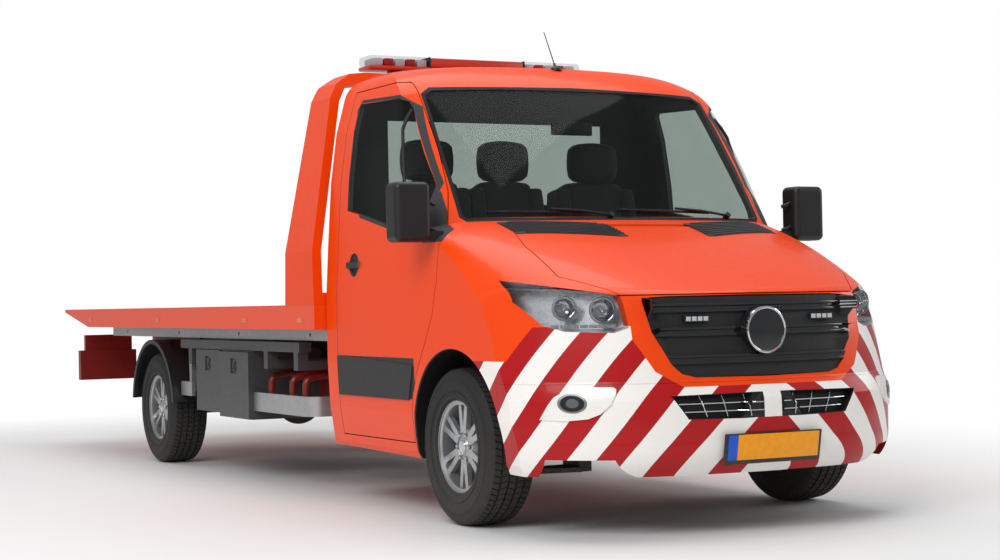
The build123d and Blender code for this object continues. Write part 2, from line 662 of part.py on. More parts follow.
def side_guards():
    """Aluminium side guard rails on red bent-tube hoops, both sides."""
    rail = block(-2598, -1860, 928, 950, 400, 505)
    rail += block(-3885, -3680, 928, 950, 445, 531)
    end = Pos(-1860, 860, 452.5) * Cylinder(90, 105) - Pos(-1860, 860, 452.5) * Cylinder(68, 105)
    rail += end & block(-1861, -1700, 859, 1000, 380, 520)
    rail += block(-1792, -1770, 640, 861, 400, 505)
    rail += block(-3780, -3740, 890, 930, 470, 737)
    return rail


def guard_hoops():
    """Red bent tubes that carry the side guards, with the panel behind them."""
    piece = None
    for x, drop in ((-2470, 0), (-2150, 0), (-1960, 0)):
        hoop = tube_path(((x, RAIL_OUT, 610), (x, 800, 610), (x, 890, 590), (x, 890, 430)), 19, 40)
        hoop += block(x - 30, x + 30, 870, 928, 420, 490)
        piece = hoop if piece is None else piece + hoop
    panel = block(-2560, -1880, 560, 572, 420, 640)
    piece += panel + block(-2560, -1880, RAIL_OUT, 562, 560, 572)
    return piece


# ---------------------------------------------------------------- deck
def slide_frame():
    """The tilting slide frame: two box rails, cross tubes, pivot pins and cylinder ears."""
    rail = block(SLIDE_END, SLIDE_FRONT, RAIL_IN + 5, RAIL_OUT - 5, SLIDE_LOW, SLIDE_TOP)
    pin = rod((PIVOT_X, RAIL_IN - 20, PIVOT_Z), (PIVOT_X, RAIL_OUT + 18, PIVOT_Z), PIVOT_R)
    side = rail + pin
    frame = side + mirror_y(side)
    for x in (SLIDE_FRONT - 50, -2200, -2900, EYE_PIN[0], -4300, PIVOT_X, SLIDE_END + 50):
        low = SLIDE_LOW + 20 if x != EYE_PIN[0] else SLIDE_LOW + 40
        frame += block(x - 35, x + 35, -RAIL_IN - 8, RAIL_IN + 8, low, SLIDE_TOP - 20)
    ex, ez = EYE_PIN
    for y in (CYL_Y - 56, CYL_Y + 40):
        ear = block(ex - 35, ex + 35, y, y + 16, ez - 30, SLIDE_LOW + 45)
        frame += ear + mirror_y(ear)
    return frame


BOARD_X = REAR_X - 1675


def rear_board():
    """The underrun board with its lamp housings and the arms that hang it from the slide frame."""
    board = block(BOARD_X - 60, BOARD_X, -1000, 1000, 480, 600)
    piece = board
    for s in (-1, 1):
        piece += block(BOARD_X - 60, BOARD_X - 5, s * 590, s * 1000, 480, 690)
        piece += block(BOARD_X - 50, BOARD_X - 10, s * 620, s * 960, 690, 800)
        piece += block(BOARD_X - 45, SLIDE_END, s * RAIL_IN + s * 10, s * (RAIL_OUT - 10), 540, SLIDE_TOP - 10)
    return piece


def deck():
    """The load deck: plate, tapered side bands, slide bearers, cross-members and under-rails."""
    taper = side_prism(((DECK_FRONT, DECK_LOW), (TAIL_X + TAIL_TAPER, DECK_LOW), (TAIL_X, DECK_TOP - 20),
                        (TAIL_X, DECK_TOP), (DECK_FRONT, DECK_TOP)), -DECK_HALF, DECK_HALF)
    plate = block(TAIL_X, DECK_FRONT, -DECK_HALF + 4, DECK_HALF - 4, DECK_TOP - 35, DECK_TOP - 5)
    bands = block(TAIL_X, DECK_FRONT, DECK_HALF - BAND_W, DECK_HALF, DECK_LOW, DECK_TOP)
    bands += mirror_y(bands)
    front = block(DECK_FRONT - BAND_W, DECK_FRONT, -DECK_HALF, DECK_HALF, DECK_LOW, DECK_TOP)
    tail = block(TAIL_X, TAIL_X + 60, -DECK_HALF, DECK_HALF, DECK_LOW, DECK_TOP)
    piece = plate + bands + front + tail
    for k in range(8):
        x = DECK_FRONT - 420 - 560 * k
        piece += block(x - 30, x + 30, -DECK_HALF + 10, DECK_HALF - 10, DECK_TOP - 90, DECK_TOP - 30)
    bearer = block(TAIL_X + 420, DECK_FRONT - 20, RAIL_IN + 5, RAIL_OUT - 5, BEARER_LOW, DECK_TOP - 30)
    piece += bearer + mirror_y(bearer)
    piece &= taper + block(TAIL_X, DECK_FRONT, -500, 500, BEARER_LOW - 1, DECK_TOP)
    piece -= side_prism(((TAIL_X + TAIL_TAPER - 30, 800), (TAIL_X - 10, 800), (TAIL_X - 10, DECK_TOP - 20),
                         (TAIL_X + TAIL_TAPER - 30, DECK_LOW)), -600, 600)
    return piece


def under_rails():
    """The two aluminium rails under the deck's edges, held by hangers."""
    rail = block(-5500, DECK_FRONT - 60, 870, 905, UNDER_RAIL_LOW, DECK_LOW - 4)
    for k in range(8):
        x = DECK_FRONT - 420 - 560 * k
        if x > -5500:
            rail += block(x - 30, x + 30, 870, 905, DECK_LOW - 10, DECK_TOP - 90)
    for x in LASHING_X:
        rail -= rod((x, 860, LASHING_Z), (x, 915, LASHING_Z), LASHING_R)
    return rail + mirror_y(rail)


LASHING_X = (-1850, -2950, -4050, -5150)
LASHING_Z = 830
LASHING_R = 11
HEAD_FRONT_VIEW = ((1050, DECK_TOP), (1050, 1262), (905, 2050), (868, 2125), (790, 2180), (700, 2190))


def headboard():
    """The headboard: two leaning side fairings joined by a top beam."""
    outer = half_outline((*HEAD_FRONT_VIEW, (0, HEAD_TOP)))
    ring = front_cut(outer, -1900, -1400)
    inner = [(y - HEAD_T, z if i < 2 else z - (HEAD_T if i > 3 else 14)) for i, (y, z) in enumerate(HEAD_FRONT_VIEW)]
    inner = [(inner[0][0], DECK_TOP - 50), *inner[1:], (0, HEAD_TOP - HEAD_T)]
    ring -= front_cut(half_outline(inner), -1950, -1350)
    side = ((-1434, DECK_TOP), (-1446, 1262), (-1530, 2190), (-1700, 2190), (-1752, 2160), (-1775, 2100),
            (-1818, 1262), (-1832, DECK_TOP))
    arch = ring & side_cut(side, -1100, 1100)
    step = block(-1560, -1434, -DECK_HALF + HEAD_T - 1, DECK_HALF - HEAD_T + 1, DECK_TOP, 1050)
    return arch + step


def light_bar():
    """The warning light bar on its feet above the headboard."""
    bar = block(-1770, -1610, -640, 640, 2222, 2298)
    bar = fillet(bar.edges().filter_by(Axis.Z), 45)
    bar = fillet(bar.faces().sort_by(Axis.Z)[-1].edges(), 12)
    feet = block(-1700, -1640, 440, 500, HEAD_TOP, 2230)
    return bar + feet + mirror_y(feet)


WINCH_X = -2020


def winch():
    """The winch's base, end plates, gearbox and motor."""
    piece = block(WINCH_X - 130, WINCH_X + 130, -330, 330, DECK_TOP - 5, DECK_TOP + 10)
    for y0, y1 in ((-210, -190), (190, 210)):
        plate = block(WINCH_X - 110, WINCH_X + 110, y0, y1, DECK_TOP, DECK_TOP + 230)
        piece += plate
    piece += rod((WINCH_X, 205, DECK_TOP + 125), (WINCH_X, 320, DECK_TOP + 125), 85)
    piece += rod((WINCH_X, -330, DECK_TOP + 125), (WINCH_X, -205, DECK_TOP + 125), 60)
    piece += rod((WINCH_X + 90, -200, DECK_TOP + 215), (WINCH_X + 90, 200, DECK_TOP + 215), 12)
    piece -= rod((WINCH_X, -240, DECK_TOP + 125), (WINCH_X, 240, DECK_TOP + 125), 25 + PIN_FIT)
    return piece


def winch_drum():
    """The winch drum with its wound rope drawn as one sleeve, on its shaft."""
    drum = rod((WINCH_X, -184, DECK_TOP + 125), (WINCH_X, 184, DECK_TOP + 125), 72)
    for y in (-184, 172):
        drum += rod((WINCH_X, y, DECK_TOP + 125), (WINCH_X, y + 12, DECK_TOP + 125), 100)
    return drum + rod((WINCH_X, -236, DECK_TOP + 125), (WINCH_X, 236, DECK_TOP + 125), 25)


def tilt_line():
    """The tilt cylinders' direction from base pin to rod eye at rest."""
    dx, dz = EYE_PIN[0] - BASE_PIN[0], EYE_PIN[1] - BASE_PIN[1]
    run = hypot(dx, dz)
    return dx / run, dz / run, run


def along(distance, y):
    """A point on the left tilt cylinder's axis, by distance from the base pin."""
    ux, uz, _ = tilt_line()
    return (BASE_PIN[0] + ux * distance, y, BASE_PIN[1] + uz * distance)


def tilt_barrels():
    """Both tilt cylinder barrels, each with its base eye."""
    _, _, run = tilt_line()
    tube = rod(along(72, CYL_Y), along(run - 110, CYL_Y), CYL_R)
    tube += rod(along(0, CYL_Y), along(74, CYL_Y), 20)
    tube -= rod(along(85, CYL_Y), along(run, CYL_Y), ROD_R + PIN_FIT)
    bx, bz = BASE_PIN
    eye = rod((bx, CYL_Y - 22, bz), (bx, CYL_Y + 22, bz), EYE_R)
    tube = tube + eye
    tube -= rod((bx, CYL_Y - 60, bz), (bx, CYL_Y + 60, bz), EYE_PIN_R + PIN_FIT)
    return both(tube)


def tilt_rods():
    """Both tilt cylinder rods, each with its eye between the slide frame's ears."""
    _, _, run = tilt_line()
    bar = rod(along(95, CYL_Y), along(run - 20, CYL_Y), ROD_R)
    ex, ez = EYE_PIN
    eye = rod((ex, CYL_Y - 32, ez), (ex, CYL_Y + 32, ez), EYE_R)
    bar += eye
    return both(bar)


# ---------------------------------------------------------------- nodes
def build_nodes():
    """Every node by name, still on the front-axle datum."""
    left_front = Pos(0, TRACK / 2, WHEEL_Z)
    right_front = Pos(0, -TRACK / 2, WHEEL_Z)
    left_rear = Pos(REAR_X, TRACK / 2, WHEEL_Z)
    right_rear = Pos(REAR_X, -TRACK / 2, WHEEL_Z)
    door_left, glass_left, mirror_left = door(), door_glass(), door_mirror()
    handle = door_handle()
    knuckle_left = knuckle()
    guard = rear_mudguard()
    rim_left, rim_right = rim(1), rim(-1)
    hoops, guards = guard_hoops(), side_guards()
    return {
        "ladder_frame": ladder_frame(),
        "front_axle_beam": front_axle_beam(),
        "rear_axle": rear_axle(),
        "upper_arms": upper_arms(),
        "engine_block": engine_block(),
        "cab_shell": cab_shell(),
        "front_bumper": front_bumper(),
        "grille": grille(),
        "headlamps": headlamps(),
        "windscreen": windscreen(),
        "rear_window": rear_window(),
        "dashboard": dashboard(),
        "driver_seat": seat(160, 640, (400,)),
        "passenger_bench": seat(-760, 90, (-560, -130)),
        "steering_wheel": steering_wheel(),
        "rear_mudguards": both(guard),
        "toolboxes": toolboxes(),
        "left_gear": left_gear(),
        "side_guards": both(guards),
        "guard_hoops": both(hoops),
        "toolbox_lid_rear": toolbox_lid(0),
        "toolbox_lid_front": toolbox_lid(1),
        "knuckle_left": knuckle_left,
        "knuckle_right": mirror_y(knuckle_left),
        "tyre_front_left": left_front * tyre(),
        "tyre_front_right": right_front * tyre(),
        "tyre_rear_left": left_rear * tyre(),
        "tyre_rear_right": right_rear * tyre(),
        "rim_front_left": left_front * rim_left,
        "rim_front_right": right_front * rim_right,
        "rim_rear_left": left_rear * rim_left,
        "rim_rear_right": right_rear * rim_right,
        "door_left": door_left + handle,
        "door_right": mirror_y(door_left + handle),
        "glass_left": glass_left,
        "glass_right": mirror_y(glass_left),
        "mirror_left": mirror_left,
        "mirror_right": mirror_y(mirror_left),
        "bonnet": bonnet(),
        "slide_frame": slide_frame(),
        "rear_board": rear_board(),
        "deck": deck(),
        "under_rails": under_rails(),
        "headboard": headboard(),
        "light_bar": light_bar(),
        "winch": winch(),
        "winch_drum": winch_drum(),
        "tilt_barrels": tilt_barrels(),
        "tilt_rods": tilt_rods(),
    }


os.makedirs("parts", exist_ok=True)
for name, shape in build_nodes().items():
    placed = Pos(SHIFT_X, 0, 0) * Compound(children=shape.solids())
    placed.label = name
    export_step(placed, f"parts/{name}.step")
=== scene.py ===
"""Looks for the slide-deck recovery truck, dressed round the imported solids.

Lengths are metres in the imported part's frame: X forward, Y to the truck's left, Z up. Stations
along the truck are given from the front axle and moved by AXLE_X.
"""

import math

import bmesh
import bpy
from mathutils import Matrix, Vector
from mathutils.bvhtree import BVHTree


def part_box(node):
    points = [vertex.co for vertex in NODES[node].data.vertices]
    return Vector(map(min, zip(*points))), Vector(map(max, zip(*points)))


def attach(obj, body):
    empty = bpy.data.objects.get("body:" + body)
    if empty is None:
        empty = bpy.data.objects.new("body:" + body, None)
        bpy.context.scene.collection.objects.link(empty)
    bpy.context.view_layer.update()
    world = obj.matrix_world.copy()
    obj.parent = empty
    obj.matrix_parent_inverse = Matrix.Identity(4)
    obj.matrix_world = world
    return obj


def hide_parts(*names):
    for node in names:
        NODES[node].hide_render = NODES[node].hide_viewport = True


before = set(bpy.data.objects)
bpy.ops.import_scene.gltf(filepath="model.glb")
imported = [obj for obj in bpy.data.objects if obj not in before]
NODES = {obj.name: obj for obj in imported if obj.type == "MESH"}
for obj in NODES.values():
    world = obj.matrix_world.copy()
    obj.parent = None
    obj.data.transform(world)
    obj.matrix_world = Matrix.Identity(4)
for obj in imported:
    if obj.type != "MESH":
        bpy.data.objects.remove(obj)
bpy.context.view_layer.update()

AXLE_X = 2.586               # front axle in the part's frame
REAR_AXLE = AXLE_X - 4.325
TRACK_HALF = 0.857
WHEEL_Z = 0.350
TYRE_R = 0.350


# ---------------------------------------------------------------- shader writing
class Field:
    """A shader socket that adds Math nodes when it is used in a sum."""

    def __init__(self, finish, socket):
        self.finish = finish
        self.socket = socket

    def math(self, operation, *others, swap=False):
        terms = [self, *others]
        if swap:
            terms.reverse()
        made = self.finish.node("ShaderNodeMath", {"operation": operation}, *terms)
        return Field(self.finish, made.outputs[0])

    def __add__(self, other):
        return self.math("ADD", other)

    __radd__ = __add__

    def __sub__(self, other):
        return self.math("SUBTRACT", other)

    def __rsub__(self, other):
        return self.math("SUBTRACT", other, swap=True)

    def __mul__(self, other):
        return self.math("MULTIPLY", other)

    __rmul__ = __mul__

    def __truediv__(self, other):
        return self.math("DIVIDE", other)

    def __gt__(self, other):
        return self.math("GREATER_THAN", other)

    def __lt__(self, other):
        return self.math("LESS_THAN", other)

    def __abs__(self):
        return self.math("ABSOLUTE")

    def fraction(self):
        return self.math("FRACT")

    def either(self, other):
        return self.math("MAXIMUM", other)

    def both(self, other):
        return self.math("MINIMUM", other)

    def ramp(self, low, high):
        """0 at low to 1 at high, smoothly, and level beyond."""
        smooth = {"interpolation_type": "SMOOTHSTEP"}
        made = self.finish.node("ShaderNodeMapRange", smooth, self, low, high, 0.0, 1.0)
        return Field(self.finish, made.outputs[0])


COAT_ROUGH = 0.06
SURFACE_IOR = 1.45


class Finish:
    """One material round a Principled surface, with the truck's own coordinates at hand."""

    def __init__(self, name, rough=0.5, metal=0.0, coat=0.0):
        self.material = bpy.data.materials.new(name)
        self.material.use_nodes = True
        self.tree = self.material.node_tree
        self.tree.nodes.clear()
        self.surface = self.node("ShaderNodeBsdfPrincipled")
        self.output = self.node("ShaderNodeOutputMaterial")
        self.tree.links.new(self.surface.outputs[0], self.output.inputs["Surface"])
        self.surface.inputs["Metallic"].default_value = metal
        self.surface.inputs["Roughness"].default_value = rough
        self.surface.inputs["Coat Weight"].default_value = coat
        self.surface.inputs["Coat Roughness"].default_value = COAT_ROUGH
        self.surface.inputs["IOR"].default_value = SURFACE_IOR
        self.place = self.node("ShaderNodeTexCoord").outputs["Object"]
        split = self.node("ShaderNodeSeparateXYZ", None, self.place)
        self.x = Field(self, split.outputs[0])
        self.y = Field(self, split.outputs[1])
        self.z = Field(self, split.outputs[2])

    def node(self, kind, settings=None, *inputs, **named):
        """Adds a node: its settings first, then the values or links of its sockets."""
        made = self.tree.nodes.new(kind)
        for key, value in (settings or {}).items():
            setattr(made, key, value)
        for key, value in [*enumerate(inputs), *named.items()]:
            socket = made.inputs[key if isinstance(key, int) else key.replace("_", " ")]
            self.feed(socket, value)
        return made

    def feed(self, socket, value):
        """Links a socket to a field or another socket, or sets its value."""
        if isinstance(value, Field):
            value = value.socket
        if isinstance(value, bpy.types.NodeSocket):
            self.tree.links.new(value, socket)
        elif isinstance(value, tuple) and len(value) == 3 and socket.type == "RGBA":
            socket.default_value = (*value, 1.0)
        else:
            socket.default_value = value

    def set(self, **sockets):
        for key, value in sockets.items():
            self.feed(self.surface.inputs[key.replace("_", " ")], value)
        return self

    def noise(self, scale, detail=3.0, stretch=None):
        place = self.place
        if stretch:
            place = self.node("ShaderNodeMapping", None, place, Scale=stretch).outputs[0]
        made = self.node("ShaderNodeTexNoise", None, Vector=place, Scale=scale, Detail=detail)
        return Field(self, made.outputs["Fac"])

    def mix(self, factor, a, b):
        made = self.node("ShaderNodeMix", {"data_type": "RGBA"})
        self.feed(made.inputs[0], factor)
        self.feed(made.inputs[6], a)
        self.feed(made.inputs[7], b)
        return made.outputs[2]

    def bump(self, height, distance=0.001, strength=0.3):
        made = self.node("ShaderNodeBump", None, Strength=strength, Distance=distance, Height=height)
        return self.set(Normal=made.outputs["Normal"])

    def facing(self, axis):
        """How far the surface faces along an axis of the object, from -1 to 1."""
        normal = self.node("ShaderNodeTexCoord").outputs["Normal"]
        return Field(self, self.node("ShaderNodeSeparateXYZ", None, normal).outputs["XYZ".index(axis)])

    def inward(self, x, y, z):
        """1 where a face looks towards a point, as a lining does, and 0 where it looks away."""
        split = self.node("ShaderNodeSeparateXYZ", None, self.node("ShaderNodeTexCoord").outputs["Normal"])
        nx, ny, nz = (Field(self, split.outputs[k]) for k in range(3))
        return (nx * (self.x - x) + ny * (self.y - y) + nz * (self.z - z)) < 0.0

    def beyond(self, a, b, outline):
        """How far (a, b) is outside a convex anticlockwise outline, in metres; negative inside it."""
        reach = None
        for (a0, b0), (a1, b1) in zip(outline, outline[1:] + outline[:1]):
            run = math.hypot(a1 - a0, b1 - b0)
            off = (a - a0) * ((b1 - b0) / run) - (b - b0) * ((a1 - a0) / run)
            reach = off if reach is None else reach.either(off)
        return reach

    def wear(self, colour, rough, dust=(0.30, 0.26, 0.21), amount=0.35, top=0.75, grain=90.0, depth=0.0004,
             shade=0.86):
        """Colour and roughness that vary, with road dust that thins out upwards to the height top."""
        cloud = self.noise(2.2, 4.0)
        fine = self.noise(34.0, 3.0)
        low = (top - self.z).ramp(0.0, top)
        dusty = (low * (cloud * 0.8 + fine * 0.6) * amount).ramp(0.02, 0.9)
        tone = colour
        if isinstance(colour, tuple):
            faded = tuple(c * shade for c in colour)
            tone = self.mix((cloud * 0.5 + fine * 0.5).ramp(0.35, 0.75), colour, faded)
        self.set(Base_Color=self.mix(dusty, tone, dust))
        self.set(Roughness=(fine - 0.5) * 0.10 + dusty * 0.35 + rough)
        self.bump(self.noise(grain, 2.0), depth, 0.25)
        return self


# ---------------------------------------------------------------- colours (linear)
ORANGE = (0.880, 0.060, 0.0005)
STRIPE_RED = (0.430, 0.006, 0.008)
STRIPE_WHITE = (0.90, 0.87, 0.83)
BLACK = (0.011, 0.011, 0.012)
TRIM_GREY = (0.040, 0.040, 0.042)
LINING_GREY = (0.120, 0.118, 0.115)
BOX_GREY = (0.055, 0.056, 0.058)
FRAME_BLACK = (0.016, 0.016, 0.017)
SILVER = (0.52, 0.53, 0.54)
# red paint of the tail board and guard hoops, made darker and browner than the paint as painted shade from
# under the deck
RED_WITH_PAINTED_SHADE = (0.190, 0.012, 0.008)
CLOTH = (0.050, 0.049, 0.048)
PLATE_ORANGE = (1.0, 0.37, 0.0)


PAINT_COAT = 0.16
PAINT_SHINE = 0.22           # how much of the white surroundings the paint mirrors
CABIN_HEART = (AXLE_X - 0.60, 0.0, 1.35)
INTAKE_VIEW = ((0.046, 0.4905), (0.150, 0.4885), (0.397, 0.4925), (0.4645, 0.5865), (0.095, 0.5915),
               (0.046, 0.5915))
SURROUND_VIEW = ((-0.01, 0.623), (0.401, 0.623), (0.509, 0.688), (0.582, 0.82), (0.582, 1.2), (-0.01, 1.2))
SCREEN_VIEW = ((-0.01, 1.374), (0.792, 1.370), (0.806, 1.382), (0.798, 1.700), (0.778, 1.978), (0.740, 2.004),
               (-0.01, 2.016))
DOOR_WINDOW = ((-1.022, 1.426), (-0.305, 1.283), (-0.352, 1.532), (-0.624, 1.908), (-0.715, 1.968),
               (-1.165, 1.987), (-1.190, 1.955), (-1.049, 1.470))
RUBBER_WIDE = 0.017          # window rubbers seen round the glass
ARCH_BLACK = 0.434           # radius of the black liner seen in the wheel arch
STRIP = (0.539, 0.735, -0.39)       # the door's rubbing strip: foot, top and front end
HANDLE = (-1.08, 1.18)              # station and height of the door handle
HANDLE_WELL = 0.0582
HANDLE_BAR = (0.071, 0.0165)        # half its length and half its height
DECK_HALF = 1.0              # the load face's half width
CLEAR_SHARE = 0.10           # how much of a pane's light the glass itself gives back
DULL = 0.22                  # what trim and lining add to the paint's roughness
STRIPE_PITCH = 0.358
STRIPE_SHIFT = 0.349
STRIPE_TOP = 0.878
STRIPE_LOW = 0.735           # below this the bands run right round the side
STRIPE_BOW = 0.6             # the bands bend away from this height, both ways
WEAVE = 900.0                # threads of the seat cloth, in radians a metre
LENS_RIBS = 620.0


def orange_paint():
    """Gloss orange of the cab, bonnet and headboard."""
    finish = Finish("orange_paint", coat=PAINT_COAT)
    finish.set(Specular_IOR_Level=PAINT_SHINE)
    finish.wear(ORANGE, 0.34, amount=0.12, top=0.9, grain=900.0, depth=0.00003, shade=0.96)
    return finish.material


def livery_paint():
    """Orange with the striped front: white ground and red bands that lean with the side they are on."""
    finish = Finish("livery_paint", coat=PAINT_COAT)
    finish.set(Specular_IOR_Level=PAINT_SHINE)
    x = finish.x - AXLE_X
    y = abs(finish.y)
    z = finish.z
    step = z - STRIPE_BOW
    band = z + y * 1.046 - x * 1.05 + step * abs(step) * 0.63
    red = ((band + STRIPE_SHIFT) / STRIPE_PITCH).fraction() < 0.49
    striped = (x > 0.2).both(z < STRIPE_TOP).both((band < 1.245).either(z < STRIPE_LOW))
    striped = striped.both(finish.beyond(y, z, SURROUND_VIEW) > 0.0)
    post = (y < 0.047).both(z > 0.488).both(z < 0.593)
    shade = finish.mix(striped, ORANGE, finish.mix(red.both(1.0 - post), STRIPE_WHITE, STRIPE_RED))
    up = z - WHEEL_Z
    black = (x * x + up * up) < ARCH_BLACK ** 2
    black = black.either((x > 0.8).both(finish.beyond(y, z, INTAKE_VIEW) < 0.002))
    rubber = (x < 0.3).both(x > -0.7).both(abs(finish.beyond(y, z, SCREEN_VIEW) - 0.5 * RUBBER_WIDE)
                                           < 0.5 * RUBBER_WIDE)
    black = black.either(rubber)
    shade = finish.mix(black, shade, BLACK)
    lining = finish.inward(*CABIN_HEART)
    shade = finish.mix(lining.both(x < 0.1), shade, LINING_GREY)
    dull = black.either(lining)
    finish.wear(shade, dull * DULL + 0.33, amount=0.14, top=0.8, grain=900.0, depth=0.00003)
    finish.set(Coat_Weight=PAINT_COAT - dull * PAINT_COAT)
    return finish.material


def door_paint():
    """Orange door skin with the rubbing strip, the handle's well, the window rubber and a grey lining."""
    finish = Finish("door_paint", coat=PAINT_COAT)
    finish.set(Specular_IOR_Level=PAINT_SHINE)
    x = finish.x - AXLE_X
    y = abs(finish.y)
    z = finish.z
    foot, top, front = STRIP
    strip = (z > foot).both(z < top).both(y > 0.978).both(x < front)
    across, rise = x - HANDLE[0], z - HANDLE[1]
    well = (across * across + rise * rise) < HANDLE_WELL ** 2
    bar = (abs(across) < HANDLE_BAR[0]).both(abs(rise - 0.001) < HANDLE_BAR[1]).both(y > 0.94)
    sail = (x > -0.31 - (z - 1.283) * 0.19).both(z > 1.262).both(z < 1.50).both(y > 0.86)
    rubber = abs(finish.beyond(x, z, DOOR_WINDOW) - 0.5 * RUBBER_WIDE) < 0.5 * RUBBER_WIDE
    dark = strip.either(well).either(bar).either(sail).either(rubber)
    shade = finish.mix(dark, ORANGE, TRIM_GREY)
    lining = finish.inward(*CABIN_HEART)
    shade = finish.mix(lining, shade, LINING_GREY)
    dull = dark.either(lining)
    finish.wear(shade, dull * DULL + 0.33, amount=0.12, top=0.9, grain=900.0, depth=0.00003)
    finish.set(Coat_Weight=PAINT_COAT - dull * PAINT_COAT)
    return finish.material


def deck_paint():
    """Orange edges and underside with a bright metal load face."""
    finish = Finish("deck_paint", coat=0.3)
    top = (finish.facing("Z") > 0.7).both(abs(finish.y) < DECK_HALF)
    streak = finish.noise(5.0, 4.0, (0.2, 3.0, 1.0))
    metal = finish.mix(streak.ramp(0.3, 0.8), (0.42, 0.42, 0.42), (0.24, 0.24, 0.24))
    finish.wear(finish.mix(top, ORANGE, metal), 0.34, amount=0.15, top=1.1)
    finish.set(Metallic=top * 0.85)
    return finish.material


def plain(name, colour, rough, metal=0.0, coat=0.0, **wear):
    """A finish of one colour with its wear."""
    return Finish(name, metal=metal, coat=coat).wear(colour, rough, **wear).material


def clear_glass(name, tint):
    """Thin window glass: mostly clear, with a faint film of dust."""
    finish = Finish(name)
    film = finish.noise(3.0, 4.0)
    clear = finish.node("ShaderNodeBsdfTransparent", None, Color=(*tint, 1.0))
    finish.set(Base_Color=(0.02, 0.022, 0.022), Roughness=film * 0.04 + 0.01)
    finish.bump(finish.noise(1.5, 2.0), 0.0004, 0.05)
    amount = film * 0.06 + CLEAR_SHARE
    mixed = finish.node("ShaderNodeMixShader", None, amount, clear.outputs[0], finish.surface.outputs[0])
    finish.tree.links.new(mixed.outputs[0], finish.output.inputs["Surface"])
    return finish.material


def woven_cloth():
    """Dark seat cloth with a fine weave."""
    finish = Finish("seat_cloth")
    wave_y = (finish.y * WEAVE).math("SINE")
    wave_z = (finish.z * WEAVE).math("SINE")
    finish.wear(CLOTH, 0.85, amount=0.1)
    finish.surface.inputs["Sheen Weight"].default_value = 0.3
    return finish.bump(wave_y * wave_z, 0.0006, 0.5).material


def tyre_rubber():
    """Dusty tyre rubber."""
    finish = Finish("tyre_rubber")
    finish.wear((0.014, 0.014, 0.014), 0.72, dust=(0.10, 0.09, 0.075), amount=0.5, grain=160.0)
    return finish.material


def ribbed_lens(name, colour, rough=0.12):
    """A coloured lamp cover with moulded ribs."""
    finish = Finish(name, coat=0.5)
    ribs = ((finish.y * LENS_RIBS).math("SINE") + (finish.z * LENS_RIBS).math("SINE")) * 0.5
    finish.wear(colour, rough, amount=0.15)
    finish.bump(ribs, 0.001, 0.4)
    return finish.material


PAINT = orange_paint()
LIVERY = livery_paint()
DOOR = door_paint()
DECK = deck_paint()
GLASS = clear_glass("window_glass", (0.80, 0.84, 0.82))
LENS = clear_glass("lamp_cover", (0.93, 0.94, 0.95))
CLOTH_FINISH = woven_cloth()
RUBBER = tyre_rubber()
BLACK_PLASTIC = plain("black_plastic", BLACK, 0.42, grain=400.0)
MATT_BLACK = plain("matt_black", (0.010, 0.010, 0.010), 0.62, grain=300.0)
GLOSS_BLACK = plain("gloss_black", (0.008, 0.008, 0.009), 0.14, coat=0.6, amount=0.1)
DARK_TRIM = plain("dark_trim", TRIM_GREY, 0.6, grain=500.0)
FRAME_PAINT = plain("frame_paint", FRAME_BLACK, 0.5, amount=0.6)
BOX_PAINT = plain("box_paint", BOX_GREY, 0.4, amount=0.35)
CAST = plain("cast_iron", (0.045, 0.042, 0.04), 0.7, metal=0.5, amount=0.6)
ALLOY = plain("wheel_alloy", SILVER, 0.30, metal=0.75, coat=0.3, dust=(0.16, 0.14, 0.12), amount=0.5)
RAIL_ALLOY = plain("rail_alloy", (0.50, 0.50, 0.50), 0.38, metal=0.8, amount=0.3)
# red paint whose darker brown tone is painted shade, on the tail board and guard hoops
SHADED_RED_PAINT = plain("red_paint_with_painted_shade", RED_WITH_PAINTED_SHADE, 0.36, coat=0.2, amount=0.3)
CHROME = plain("chrome", (0.62, 0.63, 0.64), 0.10, metal=1.0, amount=0.1)
DULL_STEEL = plain("dull_steel", (0.26, 0.26, 0.26), 0.35, metal=0.9, amount=0.3)
ROPE = plain("wire_rope", (0.20, 0.20, 0.19), 0.45, metal=0.8)
WHITE_PAINT = plain("white_paint", STRIPE_WHITE, 0.28, coat=0.5, amount=0.2)
MIRROR_GLASS = plain("mirror_glass", (0.75, 0.77, 0.78), 0.03, metal=1.0, amount=0.0)
RED_LENS = ribbed_lens("red_lens", (0.40, 0.006, 0.005))
BAR_RED = ribbed_lens("bar_red", (0.50, 0.030, 0.008), rough=0.2)
DARK_LENS = ribbed_lens("dark_lens", (0.10, 0.11, 0.115), rough=0.06)
REFLECTOR = plain("lamp_reflector", (0.88, 0.89, 0.90), 0.28, metal=0.45, amount=0.05)
AMBER_LENS = ribbed_lens("amber_lens", (0.75, 0.16, 0.005))
CLEAR_LENS = ribbed_lens("clear_ribbed_lens", (0.55, 0.56, 0.57))
PLATE = plain("plate_orange", PLATE_ORANGE, 0.35, amount=0.05)
PLATE_BLUE = plain("plate_blue", (0.005, 0.10, 0.62), 0.35, amount=0.05)

